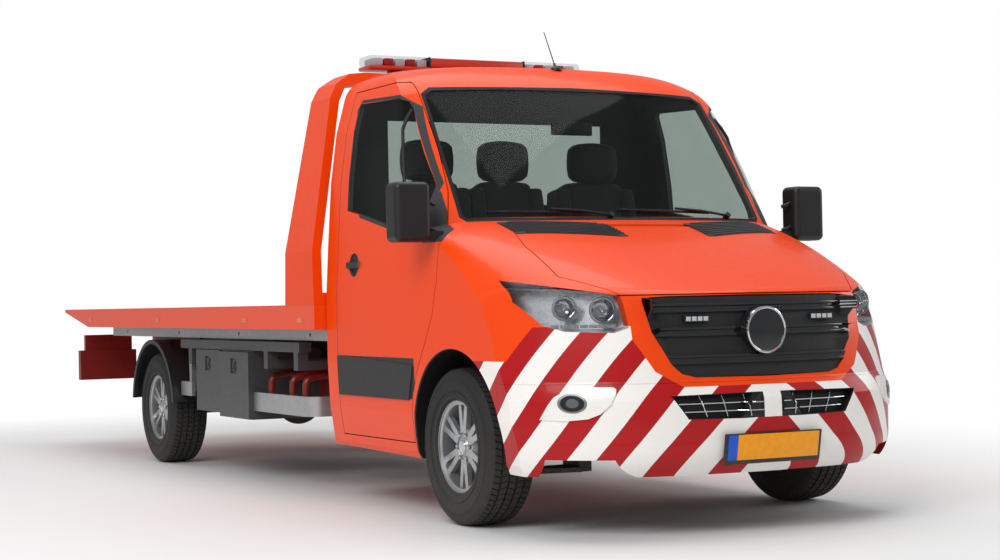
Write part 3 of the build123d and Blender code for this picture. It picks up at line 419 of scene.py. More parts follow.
NODE_FINISH = {
    "cab_shell": LIVERY, "front_bumper": LIVERY, "bonnet": PAINT, "door_left": DOOR, "door_right": DOOR,
    "headboard": PAINT, "deck": DECK, "grille": BLACK_PLASTIC, "headlamps": LENS, "windscreen": GLASS,
    "rear_window": GLASS, "glass_left": GLASS, "glass_right": GLASS, "dashboard": DARK_TRIM,
    "driver_seat": CLOTH_FINISH, "passenger_bench": CLOTH_FINISH, "steering_wheel": BLACK_PLASTIC,
    "rear_mudguards": BLACK_PLASTIC, "toolboxes": BOX_PAINT, "toolbox_lid_rear": BOX_PAINT,
    "toolbox_lid_front": BOX_PAINT, "left_gear": FRAME_PAINT, "side_guards": RAIL_ALLOY,
    "guard_hoops": SHADED_RED_PAINT, "ladder_frame": FRAME_PAINT, "front_axle_beam": FRAME_PAINT,
    "rear_axle": CAST, "upper_arms": CAST, "engine_block": CAST, "knuckle_left": CAST, "knuckle_right": CAST,
    "mirror_left": BLACK_PLASTIC, "mirror_right": BLACK_PLASTIC, "slide_frame": FRAME_PAINT,
    "rear_board": SHADED_RED_PAINT, "under_rails": RAIL_ALLOY, "light_bar": CLEAR_LENS, "winch": FRAME_PAINT,
    "winch_drum": ROPE, "tilt_barrels": FRAME_PAINT, "tilt_rods": CHROME,
}
for corner in ("front_left", "front_right", "rear_left", "rear_right"):
    NODE_FINISH[f"tyre_{corner}"] = RUBBER
    NODE_FINISH[f"rim_{corner}"] = ALLOY
for node_name, finish in NODE_FINISH.items():
    for slot in NODES[node_name].material_slots:
        slot.material = finish


# ---------------------------------------------------------------- mesh writing
CREASE = math.radians(35)
BEVEL_CREASE = math.radians(40)
SHARP_EDGE = 0.6             # radians between two faces whose edge is rounded


def piece(name, verts, faces, finish, body, smooth=True):
    """A new mesh piece that rides on a body."""
    mesh = bpy.data.meshes.new(name)
    mesh.from_pydata([tuple(v) for v in verts], [], faces)
    return place_piece(name, mesh, finish, body, smooth)


def place_piece(name, mesh, finish, body, smooth=True):
    """Links a mesh as a piece, with clean normals and its finish."""
    form = bmesh.new()
    form.from_mesh(mesh)
    bmesh.ops.remove_doubles(form, verts=form.verts, dist=1e-6)
    bmesh.ops.recalc_face_normals(form, faces=form.faces)
    form.to_mesh(mesh)
    form.free()
    mesh.materials.clear()
    mesh.materials.append(finish)
    made = bpy.data.objects.new(name, mesh)
    bpy.context.collection.objects.link(made)
    if smooth:
        mesh.shade_smooth()
        mesh.set_sharp_from_angle(angle=CREASE)
    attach(made, body)
    return made


class Shape:
    """Collects simple solids into one mesh."""

    def __init__(self):
        self.verts = []
        self.faces = []

    def add(self, verts, faces):
        base = len(self.verts)
        self.verts += [Vector(v) for v in verts]
        self.faces += [tuple(i + base for i in face) for face in faces]
        return self

    def box(self, low, high, turn=None, about=None):
        (x0, y0, z0), (x1, y1, z1) = low, high
        corners = [Vector((x, y, z)) for x in (x0, x1) for y in (y0, y1) for z in (z0, z1)]
        if turn:
            centre = Vector(about) if about else sum(corners, Vector()) / 8
            corners = [centre + turn @ (c - centre) for c in corners]
        faces = [(0, 1, 3, 2), (4, 6, 7, 5), (0, 4, 5, 1), (2, 3, 7, 6), (0, 2, 6, 4), (1, 5, 7, 3)]
        return self.add(corners, faces)

    def turned(self, profile, centre, axis, steps=32):
        """A lathe form: (along, radius) points about an axis through centre; closed when radius ends at 0."""
        axis = Vector(axis).normalized()
        side = axis.orthogonal().normalized()
        up = axis.cross(side)
        verts = []
        for along, radius in profile:
            for k in range(steps):
                a = math.tau * k / steps
                verts.append(Vector(centre) + axis * along + (side * math.cos(a) + up * math.sin(a)) * radius)
        faces = []
        for row in range(len(profile) - 1):
            for k in range(steps):
                n = (k + 1) % steps
                faces.append((row * steps + k, row * steps + n, (row + 1) * steps + n, (row + 1) * steps + k))
        return self.add(verts, faces)

    def ring(self, profile, centre, axis, steps=32):
        """A lathe form whose profile closes on itself."""
        return self.turned([*profile, profile[0]], centre, axis, steps)

    def rod(self, p, q, radius, steps=12):
        """A round bar with flat ends."""
        p, q = Vector(p), Vector(q)
        length = (q - p).length
        return self.turned([(0, 1e-5), (0, radius), (length, radius), (length, 1e-5)], p, q - p, steps)

    def tube(self, path, radius, steps=10):
        """A round bar along a line of points."""
        path = [Vector(p) for p in path]
        last = len(path) - 1
        side = None
        verts = []
        for i, p in enumerate(path):
            ahead = (path[min(i + 1, last)] - path[max(i - 1, 0)]).normalized()
            side = ahead.orthogonal() if side is None else side - ahead * side.dot(ahead)
            side.normalize()
            up = ahead.cross(side)
            for k in range(steps):
                a = math.tau * k / steps
                verts.append(p + (side * math.cos(a) + up * math.sin(a)) * radius)
        faces = []
        for i in range(last):
            for k in range(steps):
                n = (k + 1) % steps
                faces.append((i * steps + k, i * steps + n, (i + 1) * steps + n, (i + 1) * steps + k))
        faces += [tuple(range(steps)), tuple(range(last * steps, (last + 1) * steps))]
        return self.add(verts, faces)

    def mirrored(self):
        """The same form on the truck's other side."""
        other = Shape()
        other.verts = [Vector((v.x, -v.y, v.z)) for v in self.verts]
        other.faces = [tuple(reversed(f)) for f in self.faces]
        return other

    def both_sides(self):
        """The form with its mirror image added."""
        other = self.mirrored()
        return self.add(other.verts, other.faces)

    def place(self, name, finish, body, slot, smooth=True, bevel=0.0):
        """Makes the collected form a piece, with its edges rounded if a bevel is given."""
        made = piece(name, self.verts, self.faces, finish, body, smooth)
        if bevel:
            round_edges(made, bevel)
        return made


def round_edges(made, width, segments=2):
    """Rounds a piece's sharp edges in its mesh."""
    form = bmesh.new()
    form.from_mesh(made.data)
    sharp = [e for e in form.edges if len(e.link_faces) == 2 and e.calc_face_angle(0) > SHARP_EDGE]
    bmesh.ops.bevel(form, geom=sharp, offset=width, segments=segments, affect="EDGES", profile=0.5,
                    clamp_overlap=True)
    form.to_mesh(made.data)
    form.free()
    made.data.shade_smooth()
    made.data.set_sharp_from_angle(angle=BEVEL_CREASE)


def surface_of(*names):
    """A search tree of the named nodes' surfaces."""
    form = bmesh.new()
    for name in names:
        form.from_mesh(NODES[name].data)
    tree = BVHTree.FromBMesh(form)
    form.free()
    return tree


CAB_SKIN = surface_of("cab_shell", "front_bumper", "bonnet", "headlamps", "grille", "windscreen")
AHEAD = AXLE_X + 1.5         # clear of the nose
ABOVE = 1.6                  # over the bonnet and its vents
REARWARD = (-1, 0, 0)
DOWN = (0, 0, -1)


def land(point, heading, tree=CAB_SKIN):
    """Where a line from point first meets the cab or another surface, with its outward normal."""
    heading = Vector(heading).normalized()
    hit, normal, _, _ = tree.ray_cast(Vector(point), heading)
    if hit is None:
        return None
    return hit, (normal if normal.dot(heading) < 0 else -normal)


def front_point(y, z, lift=0.0):
    """The point of the cab's front at (y, z), lifted off the skin."""
    found = land((AHEAD, y, z), REARWARD)
    return found[0] + found[1] * lift


def patch(outline, start, heading, lift, thick, rings=1):
    """A thin panel that lies on the cab: a fan of rings inside an outline, pressed on along heading."""
    n = len(outline)
    centre = tuple(sum(p[i] for p in outline) / n for i in range(2))
    shape = Shape()
    layers = []
    for r in range(rings, 0, -1):
        share = r / rings
        layers.append([tuple(c + (v - c) * share for v, c in zip(p, centre)) for p in outline])
    flat = [p for layer in layers for p in layer] + [centre]
    top, low = [], []
    for p in flat:
        found = land(start(p), heading)
        hit, normal = found if found else (Vector(start(p)), -Vector(heading))
        top.append(hit + normal * (lift + thick))
        low.append(hit + normal * (lift - 0.002))
    faces = []
    for r in range(rings - 1):
        faces += [(r * n + i, r * n + (i + 1) % n, (r + 1) * n + (i + 1) % n, (r + 1) * n + i)
                  for i in range(n)]
    last = (rings - 1) * n
    faces += [(last + i, last + (i + 1) % n, rings * n) for i in range(n)]
    total = len(flat)
    sides = [(i, (i + 1) % n, total + (i + 1) % n, total + i) for i in range(n)]
    back = [tuple(total + i for i in reversed(face)) for face in faces]
    return shape.add(top + low, faces + back + sides)


def oval(centre, half, steps=32):
    """Points (a, b) round an oval with the two half sizes."""
    angles = [math.tau * k / steps for k in range(steps)]
    return [(centre[0] + half[0] * math.cos(a), centre[1] + half[1] * math.sin(a)) for a in angles]


# ---------------------------------------------------------------- camera, floor and light
CAMERA_PLACE = Vector((AXLE_X + 7.692, -4.7439, 0.9961))
CAMERA_YAW = math.radians(27.54249)
CAMERA_PITCH = math.radians(0.5859786)
CAMERA_ROLL = math.radians(-1.11005)
CAMERA_LENS = 69.715
SENSOR = 36.0
FLOOR_HALF = 60.0
SHADOW_HALF = (3.7, 1.2)     # the floor keeps its shade this far from the middle, and fades beyond


def set_camera():
    """The viewing angle, as a place, yaw, pitch and roll."""
    level_run = math.cos(CAMERA_PITCH)
    ahead = Vector((-math.cos(CAMERA_YAW) * level_run, math.sin(CAMERA_YAW) * level_run,
                    math.sin(CAMERA_PITCH)))
    level = ahead.cross(Vector((0, 0, 1))).normalized()
    up = level.cross(ahead)
    right = level * math.cos(CAMERA_ROLL) + up * math.sin(CAMERA_ROLL)
    top = up * math.cos(CAMERA_ROLL) - level * math.sin(CAMERA_ROLL)
    data = bpy.data.cameras.new("view")
    data.sensor_width = SENSOR
    data.lens = CAMERA_LENS
    data.clip_end = 200.0
    camera = bpy.data.objects.new("view", data)
    rows = Matrix((right, top, -ahead)).transposed().to_4x4()
    camera.matrix_world = Matrix.Translation(CAMERA_PLACE) @ rows
    bpy.context.collection.objects.link(camera)
    bpy.context.scene.camera = camera


def set_floor():
    """A wide pale floor that shows white to the camera away from the shadow."""
    finish = Finish("pale_floor", rough=0.6)
    finish.set(Base_Color=(0.80, 0.80, 0.79))
    along = (abs(finish.x) - SHADOW_HALF[0]).either(0.0)
    aside = (abs(finish.y) - SHADOW_HALF[1]).either(0.0)
    far = (along * along + aside * aside).math("SQRT").ramp(0.6, 4.0)
    rays = finish.node("ShaderNodeLightPath")
    direct, through = (Field(finish, rays.outputs[f"Is {kind} Ray"]) for kind in ("Camera", "Transmission"))
    seen = direct.either(through)
    white = finish.node("ShaderNodeEmission", None, (1.0, 1.0, 1.0), 1.0)
    mixed = finish.node("ShaderNodeMixShader", None, far * seen, finish.surface.outputs[0], white.outputs[0])
    finish.tree.links.new(mixed.outputs[0], finish.output.inputs["Surface"])
    corners = [(FLOOR_HALF * a, FLOOR_HALF * b, 0) for a, b in ((-1, -1), (1, -1), (1, 1), (-1, 1))]
    mesh = bpy.data.meshes.new("floor")
    mesh.from_pydata(corners, [], [(0, 1, 2, 3)])
    mesh.materials.append(finish.material)
    floor = bpy.data.objects.new("floor", mesh)
    bpy.context.collection.objects.link(floor)


def set_world():
    """A soft even sky that the camera sees as white, directly and through glass."""
    world = bpy.data.worlds.new("studio")
    bpy.context.scene.world = world
    world.use_nodes = True
    tree = world.node_tree
    tree.nodes.clear()
    rays = tree.nodes.new("ShaderNodeLightPath")
    white = tree.nodes.new("ShaderNodeBackground")
    white.inputs["Color"].default_value = (1, 1, 1, 1)
    white.inputs["Strength"].default_value = 1.0
    soft = tree.nodes.new("ShaderNodeBackground")
    soft.inputs["Color"].default_value = (0.95, 0.97, 1.0, 1)
    soft.inputs["Strength"].default_value = 0.42
    seen = tree.nodes.new("ShaderNodeMath")
    seen.operation = "MAXIMUM"
    tree.links.new(rays.outputs["Is Camera Ray"], seen.inputs[0])
    tree.links.new(rays.outputs["Is Transmission Ray"], seen.inputs[1])
    mix = tree.nodes.new("ShaderNodeMixShader")
    tree.links.new(seen.outputs[0], mix.inputs[0])
    tree.links.new(soft.outputs[0], mix.inputs[1])
    tree.links.new(white.outputs[0], mix.inputs[2])
    out = tree.nodes.new("ShaderNodeOutputWorld")
    tree.links.new(mix.outputs[0], out.inputs["Surface"])


def area_light(name, place, target, size, power, shine=True):
    """A soft rectangular lamp aimed at a target, with or without its own shine on gloss."""
    data = bpy.data.lights.new(name, "AREA")
    data.shape = "RECTANGLE"
    data.size, data.size_y = size
    data.energy = power
    lamp = bpy.data.objects.new(name, data)
    lamp.location = place
    lamp.rotation_euler = (Vector(target) - Vector(place)).to_track_quat("-Z", "Y").to_euler()
    lamp.visible_glossy = shine
    bpy.context.collection.objects.link(lamp)


def set_lights():
    """A key from the camera's side, one overhead, and two fills."""
    middle = (0.5, 0, 1.0)
    area_light("key", (7.0, -7.5, 7.0), middle, (6.0, 5.0), 600)
    area_light("roof", (0.0, 0.5, 9.0), middle, (9.0, 6.0), 430)
    area_light("left_fill", (4.0, 9.0, 4.5), middle, (6.0, 4.0), 220)
    area_light("rear_fill", (-9.0, -3.0, 5.0), middle, (5.0, 4.0), 160, shine=False)


# ---------------------------------------------------------------- wheels
WHEEL_AXIS = (0, 1, 0)
NUTS = 6
NUT_CIRCLE = 0.057
RIM_SEAT = 0.2035            # bore of the tyre
WHEELS = {
    "front_left": (AXLE_X, 1, "wheel_front_left"), "front_right": (AXLE_X, -1, "wheel_front_right"),
    "rear_left": (REAR_AXLE, 1, "wheel_rear_left"), "rear_right": (REAR_AXLE, -1, "wheel_rear_right"),
}
TYRE_SECTION = (
    (-0.098, RIM_SEAT), (-0.111, 0.214), (-0.1125, 0.226), (-0.1155, 0.235), (-0.1185, 0.262),
    (-0.1195, 0.285), (-0.1165, 0.306), (-0.1105, 0.322), (-0.1065, 0.330), (-0.099, 0.3385),
    (-0.092, 0.3435))
TREAD_HALF = 0.092
TREAD_RIBS = ((-TREAD_HALF, -0.062), (-0.053, -0.024), (-0.015, 0.015), (0.024, 0.053), (0.062, TREAD_HALF))
TREAD_DEPTH = 0.008
SIDE_RIBS = ((0.2455, 0.002, 0.1176), (0.300, 0.0025, 0.1172))     # radius, half width and how far out
PITCHES = 72                 # tread blocks round the tyre
TREAD_BOW = 0.0065           # how much the tread falls away at its edges
GROOVE_FOOT = 0.003
BLOCK_FOOT = 0.004           # how far the blocks reach below the groove
TYRE_STEPS = 96
DISC_PLATES = (-0.028, -0.014)
DISC_BORE, DISC_R, DISC_THICK = 0.075, 0.150, 0.010


def tread_height(y):
    """Tread surface radius across the tyre."""
    return TYRE_R - TREAD_BOW * (abs(y) / TREAD_HALF) ** 3


def tread_block(shape, start, length, skew, y0, y1):
    """One block of the tread between two angles, leaning by skew from y0 to y1."""
    verts = []
    for foot in (True, False):
        for a, y in ((start, y0), (start + length, y0), (start + length + skew, y1), (start + skew, y1)):
            r = TYRE_R - TREAD_DEPTH - BLOCK_FOOT if foot else tread_height(y)
            verts.append((math.cos(a) * r, y, math.sin(a) * r))
    shape.add(verts, [(3, 2, 1, 0), (4, 5, 6, 7), (0, 1, 5, 4), (1, 2, 6, 5), (2, 3, 7, 6), (3, 0, 4, 7)])


def tyre_shape():
    """A tyre about the origin with its axis on Y: sidewalls, grooves and tread blocks."""
    shape = Shape()
    groove = TYRE_R - TREAD_DEPTH - GROOVE_FOOT
    other = [(-y, r) for y, r in reversed(TYRE_SECTION)]
    floor = [(-TREAD_HALF, groove), (TREAD_HALF, groove)]
    seat = [(0.06, RIM_SEAT), (-0.06, RIM_SEAT)]
    shape.ring([*TYRE_SECTION, *floor, *other, *seat], (0, 0, 0), WHEEL_AXIS, TYRE_STEPS)
    pitch = math.tau / PITCHES
    for index, (y0, y1) in enumerate(TREAD_RIBS):
        share = 0.80 if index in (0, len(TREAD_RIBS) - 1) else 0.86
        offset = 0.5 if index % 2 else 0.0
        skew = 0.35 * pitch * (1 if index % 2 else -1)
        for k in range(PITCHES):
            tread_block(shape, (k + offset) * pitch, pitch * share, skew, y0, y1)
    for side in (-1, 1):
        for radius, width, bulge in SIDE_RIBS:
            low, high = side * (bulge - 0.002), side * (bulge + 0.0018)
            shape.ring([(low, radius - width), (high, radius - width * 0.5), (high, radius + width * 0.5),
                        (low, radius + width)], (0, 0, 0), WHEEL_AXIS, TYRE_STEPS)
    return shape


def moved(shape, place, flip=False):
    """A copy of a shape at a place, turned half way round the upright if flip."""
    sign = -1 if flip else 1
    copy = Shape()
    copy.verts = [Vector((v.x * sign, v.y * sign, v.z)) + Vector(place) for v in shape.verts]
    copy.faces = list(shape.faces)
    return copy


def nut_places():
    """Where the wheel nuts stand, about the origin."""
    for k in range(NUTS):
        a = math.tau * (k + 0.5) / NUTS + math.tau / 4
        yield NUT_CIRCLE * math.cos(a), 0, NUT_CIRCLE * math.sin(a)


def wheel_fittings():
    """Nuts and cap of a wheel about the origin, its face towards +Y."""
    shape = Shape()
    nut = [(0.050, 0.0105), (0.078, 0.0105), (0.0825, 0.0075), (0.084, 1e-5)]
    cap = [(0.070, 0.030), (0.079, 0.030), (0.083, 0.026), (0.084, 1e-5)]
    for place in nut_places():
        shape.turned(nut, place, WHEEL_AXIS, 6)
    return shape.turned(cap, (0, 0, 0), WHEEL_AXIS, 28)


def nut_wells():
    """Dark wells round the wheel nuts."""
    shape = Shape()
    for place in nut_places():
        shape.turned([(0.0655, 1e-5), (0.0668, 0.0155), (0.0655, 0.0165)], place, WHEEL_AXIS, 16)
    return shape


def brake_disc():
    """The two plates of a vented disc, about the origin."""
    shape = Shape()
    for y in DISC_PLATES:
        out = y + DISC_THICK
        shape.ring([(y, DISC_BORE), (y, DISC_R), (out, DISC_R), (out, DISC_BORE)], (0, 0, 0), WHEEL_AXIS, 48)
    return shape


def dress_wheels():
    """Treaded tyres in place of the plain ones, with nuts, cap and disc on each wheel."""
    tyre = tyre_shape()
    nuts = wheel_fittings()
    wells = nut_wells()
    disc = brake_disc()
    for name, (x, side, body) in WHEELS.items():
        place = (x, side * TRACK_HALF, WHEEL_Z)
        flip = side < 0
        made = moved(tyre, place, flip).place(f"tread_{name}", RUBBER, body, "tyre")
        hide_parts(f"tyre_{name}")
        moved(nuts, place, flip).place(f"wheel_nuts_{name}", CHROME, body, "alloy")
        moved(wells, place, flip).place(f"nut_wells_{name}", GLOSS_BLACK, body, "alloy")
        moved(disc, place, flip).place(f"brake_disc_{name}", DULL_STEEL, body, "cast")


# ---------------------------------------------------------------- front of the cab
BADGE_Z = 0.850
GRILLE_EDGE = ((0.420, 0.998), (0.500, 0.993), (0.518, 0.984), (0.523, 0.968), (0.505, 0.850), (0.440, 0.715),
               (0.400, 0.676), (0.340, 0.660))
GRILLE_BARS = (0.734, 0.849, 0.948)
RIB_OUT, RIB_IN = 0.018, 0.008
RIB_DEEP, RIB_DIP = 0.014, 0.007           # a rib's depth, and how far its middle is set back
PANEL_BACK, PANEL_FRONT = 0.026, 0.010     # the panel's faces behind the ribs' front
BOSS_R = 0.098
PANEL_LEVELS = (0.660, 0.676, 0.715, 0.760, 0.805, 0.850, 0.900, 0.945, 0.968, 0.984, 0.993)
PLAIN_LOW, PLAIN_STEP = 0.733, 0.065       # the plain solid's own four bars
PLAIN_LEVELS = [PLAIN_LOW + PLAIN_STEP * k for k in range(4)]
LOW_BAR_HALF = 0.43          # the lowest of them ends here
BADGE_CLEAR = 0.11           # and the badge's stub stands within this of the middle
GRILLE_TREE = surface_of("grille")


def grille_x(y, z):
    """The front of the grille's bars at (y, z), carried on between and past the plain solid's own bars."""
    y = max(-LOW_BAR_HALF, min(LOW_BAR_HALF, y)) if z < 0.75 else y
    aside = math.copysign(max(abs(y), BADGE_CLEAR), y or 1.0)
    places = []
    for level in PLAIN_LEVELS:
        found = land((AHEAD, aside, level), REARWARD, GRILLE_TREE)
        places.append(found[0].x if found else AXLE_X + 0.95)
    k = max(0, min(len(PLAIN_LEVELS) - 2, int((z - PLAIN_LOW) / PLAIN_STEP)))
    share = (z - PLAIN_LEVELS[k]) / PLAIN_STEP
    return places[k] + (places[k + 1] - places[k]) * share


def grille_half(z):
    """Half the grille's width at a height."""
    for (y0, z0), (y1, z1) in zip(GRILLE_EDGE, GRILLE_EDGE[1:]):
        if z1 <= z <= z0:
            return y0 + (y1 - y0) * (z0 - z) / (z0 - z1)
    return GRILLE_EDGE[0][0]


def front_bar(shape, low, high, back, front, steps=24):
    """A bar across the grille from height low to high, its faces set back from the bars' front."""
    rows = []
    for k in range(steps + 1):
        row = []
        for z in (low, high):
            y = grille_half(z) * (2 * k / steps - 1)
            x = grille_x(y, z)
            row += [Vector((x - back, y, z)), Vector((x - front, y, z))]
        rows.append([row[0], row[1], row[3], row[2]])
    verts = [v for row in rows for v in row]
    faces = [(4 * k + i, 4 * k + (i + 1) % 4, 4 * k + 4 + (i + 1) % 4, 4 * k + 4 + i)
             for k in range(steps) for i in range(4)]
    faces += [(0, 1, 2, 3), tuple(4 * steps + i for i in (3, 2, 1, 0))]
    return shape.add(verts, faces)


def dress_grille():
    """The recessed panel with three double ribs, and the round boss."""
    panel = Shape()
    for low, high in zip(PANEL_LEVELS, PANEL_LEVELS[1:]):
        front_bar(panel, low, high, PANEL_BACK, PANEL_FRONT)
    made = panel.place("grille_panel", MATT_BLACK, "chassis", "black_plastic")
    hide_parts("grille")
    ribs = Shape()
    for level in GRILLE_BARS:
        front_bar(ribs, level - RIB_OUT, level - RIB_IN, RIB_DEEP, 0.0)
        front_bar(ribs, level + RIB_IN, level + RIB_OUT, RIB_DEEP, 0.0)
        front_bar(ribs, level - RIB_IN, level + RIB_IN, RIB_DEEP, RIB_DIP)
    ribs.place("grille_ribs", GLOSS_BLACK, "chassis", "black_plastic", bevel=0.002)
    boss = Shape().rod((AXLE_X + 0.905, 0, BADGE_Z), (AXLE_X + 1.002, 0, BADGE_Z), BOSS_R, 64)
    boss.place("grille_boss", GLOSS_BLACK, "chassis", "black_plastic", bevel=0.002)


STROBES = (-0.305, 0.335)    # the strobe lamps' middles across
STROBE_FOOT, STROBE_TOP, STROBE_HALF = 0.889, 0.915, 0.060
STROBE_LEVEL = 0.903         # height at which the grille's face is found
STROBE_BACK, STROBE_OUT = 0.030, 0.010
STROBE_CELLS, CELL_START, CELL_STEP, CELL_HALF = 4, 0.043, 0.0287, 0.011
CELL_MARGIN = 0.004


def dress_strobes():
    """Two flat strobe lamps in the grille, each with a row of cells."""
    cases = Shape()
    cells = Shape()
    for y in STROBES:
        x = grille_x(y, STROBE_LEVEL)
        cases.box((x - STROBE_BACK, y - STROBE_HALF, STROBE_FOOT),
                  (x + STROBE_OUT, y + STROBE_HALF, STROBE_TOP))
        for k in range(STROBE_CELLS):
            c = y - CELL_START + CELL_STEP * k
            cells.box((x + STROBE_OUT - 0.001, c - CELL_HALF, STROBE_FOOT + CELL_MARGIN),
                      (x + STROBE_OUT + 0.003, c + CELL_HALF, STROBE_TOP - CELL_MARGIN))
    cases.place("strobe_cases", GLOSS_BLACK, "chassis", "black_plastic", bevel=0.004)
    cells.place("strobe_lenses", CLEAR_LENS, "chassis", "lamp", bevel=0.0015)


# depth and radius along each section
BADGE_RING = ((-0.004, 0.090), (0.004, 0.089), (0.008, 0.094), (0.004, 0.099), (-0.004, 0.100))
BADGE_DISC = ((0.0, 0.092), (0.003, 0.091), (0.006, 0.07), (0.007, 1e-5))
RING_X, DISC_X = AXLE_X + 1.003, AXLE_X + 1.001


def dress_badge():
    """A bright ring with a blank disc in it."""
    ring = Shape().ring(BADGE_RING, (RING_X, 0, BADGE_Z), (1, 0, 0), 64)
    ring.place("badge_ring", CHROME, "chassis", "alloy")
    disc = Shape().turned(BADGE_DISC, (DISC_X, 0, BADGE_Z), (1, 0, 0), 48)
    disc.place("badge_disc", GLOSS_BLACK, "chassis", "black_plastic")


def lamp_sheet(name, keep):
    """The headlamp solid's faces that keep() accepts, as a new mesh."""
    form = bmesh.new()
    form.from_mesh(NODES["headlamps"].data)
    bmesh.ops.remove_doubles(form, verts=form.verts, dist=1e-5)
    form.normal_update()
    gone = [f for f in form.faces if not keep(f)]
    bmesh.ops.delete(form, geom=gone, context="FACES")
    mesh = bpy.data.meshes.new(name)
    form.to_mesh(mesh)
    form.free()
    return mesh


# a point inside the left headlamp, for telling its outer faces
LAMP_HEART = Vector((AXLE_X + 0.20, 0.35, 0.95))


def outward(face):
    """Whether a headlamp face looks out of the wing."""
    centre = face.calc_center_median()
    heart = Vector((LAMP_HEART.x, math.copysign(LAMP_HEART.y, centre.y), LAMP_HEART.z))
    away = centre - heart
    away.z *= 0.2
    return face.normal.dot(away.normalized()) > 0.55 and abs(face.normal.z) < 0.75


BOWL_MID = 0.955             # height that the bowl narrows towards
BOWL_NARROW = 0.86
BOWL_BACK = Vector((-0.075, -0.045, 0.0))


def lamp_bowl(cover):
    """The cover's edge drawn back and in, and closed behind, as the bowl's mesh."""
    form = bmesh.new()
    form.from_mesh(cover)
    edges = [e for e in form.edges if e.is_boundary]
    grown = bmesh.ops.extrude_edge_only(form, edges=edges)["geom"]
    fresh = {v for v in grown if isinstance(v, bmesh.types.BMVert)}
    for v in fresh:
        v.co += Vector((BOWL_BACK.x, BOWL_BACK.y * math.copysign(1, v.co.y), BOWL_BACK.z))
        v.co.z = BOWL_MID + (v.co.z - BOWL_MID) * BOWL_NARROW
    walls = {f for f in grown if isinstance(f, bmesh.types.BMFace)}
    bmesh.ops.delete(form, geom=[f for f in form.faces if f not in walls], context="FACES_ONLY")
    back = [e for e in form.edges if e.is_boundary and all(v in fresh for v in e.verts)]
    bmesh.ops.holes_fill(form, edges=back)
    bowl = bpy.data.meshes.new("lamp_bowls")
    form.to_mesh(bowl)
    form.free()
    return bowl


def dress_headlamps():
    """Clear covers over deep bright bowls."""
    cover = lamp_sheet("lamp_covers", outward)
    place_piece("lamp_bowls", lamp_bowl(cover), REFLECTOR, "chassis")
    lens = place_piece("lamp_covers", cover, LENS, "chassis")
    thick = lens.modifiers.new("thick", "SOLIDIFY")
    thick.thickness = 0.002
    thick.offset = -1
    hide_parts("headlamps")


REFLECTORS = ((0.665, 0.945, 0.050), (0.785, 0.955, 0.045))     # across, height and radius
REFLECTOR_SECTION = ((0.0, 0.35), (0.012, 0.7), (0.035, 0.95), (0.045, 1.0), (0.043, 0.93), (0.033, 0.88),
                     (0.012, 0.62), (0.006, 0.3), (0.02, 0.22))  # depth, and share of the radius
INDICATOR_CELLS, INDICATOR_START, INDICATOR_STEP = 7, 0.635, 0.030
INDICATOR_FOOT, INDICATOR_TOP = 0.872, 0.886


def dress_lamp_insides():
    """Two round reflectors with their rims in each headlamp, over a row of indicator cells."""
    bulbs = Shape()
    rims = Shape()
    heading = Vector((1, 0.35, 0)).normalized()
    for y, z, r in REFLECTORS:
        base = front_point(y, z) - heading * 0.075
        section = [(along, r * share) for along, share in REFLECTOR_SECTION]
        bulbs.turned([*section, (0.03, 1e-5)], base, heading, 36)
        rims.ring([(0.040, r), (0.050, r + 0.002), (0.050, r + 0.008), (0.040, r + 0.008)], base, heading, 36)
    bulbs.both_sides().place("lamp_reflectors", CHROME, "chassis", "lamp")
    rims.both_sides().place("lamp_rims", CHROME, "chassis", "lamp")
    strip = Shape()
    for k in range(INDICATOR_CELLS):
        y = INDICATOR_START + INDICATOR_STEP * k
        p = front_point(y, 0.878)
        strip.box((p.x - 0.050, y - 0.011, INDICATOR_FOOT), (p.x - 0.018, y + 0.011, INDICATOR_TOP))
    strip.both_sides().place("indicator_strip", CLEAR_LENS, "chassis", "lamp")


POD = ((0.905, 0.497), (0.880, 0.560), (0.862, 0.588), (0.820, 0.618), (0.770, 0.628), (0.672, 0.626),
       (0.664, 0.618), (0.668, 0.600), (0.690, 0.560), (0.725, 0.520), (0.765, 0.500), (0.830, 0.492))


FOG_CENTRE = (0.810, 0.563)
FOG_HALF = (0.044, 0.039)
INTAKE_INNER = ((0.048, 0.4905), (0.148, 0.4905), (0.097, 0.5895), (0.048, 0.5895))


def on_front(p):
    """Where a ray towards the nose starts for (y, z)."""
    return (AHEAD, p[0], p[1])


def dress_fog_lamps():
    """Fog lamp pods, each with an oval lamp in its rim."""
    pod = patch(POD, on_front, REARWARD, 0.0, 0.008, 3)
    pod.both_sides().place("fog_pods", WHITE_PAINT, "chassis", "striped_paint")
    for name, size, lift, finish, slot in (("fog_rims", 1.0, 0.0075, DULL_STEEL, "alloy"),
                                           ("fog_glass", 0.82, 0.0085, GLOSS_BLACK, "lamp"),
                                           ("fog_lenses", 0.44, 0.0100, DARK_LENS, "lamp")):
        edge = oval(FOG_CENTRE, [half * size for half in FOG_HALF])
        patch(edge, on_front, REARWARD, lift, 0.002, 2).both_sides().place(name, finish, "chassis", slot)


MESH_WIRE = 0.0030
MESH_LIFT = 0.004
MESH_ACROSS = ((0.519, 0.405), (0.552, 0.425))                  # height, and where the wire ends
MESH_RISING = ((0.110, 0.126), (0.205, 0.230), (0.300, 0.334))  # across at its foot and at its top
MESH_FOOT, MESH_RISE, MESH_START = 0.496, 0.088, 0.052


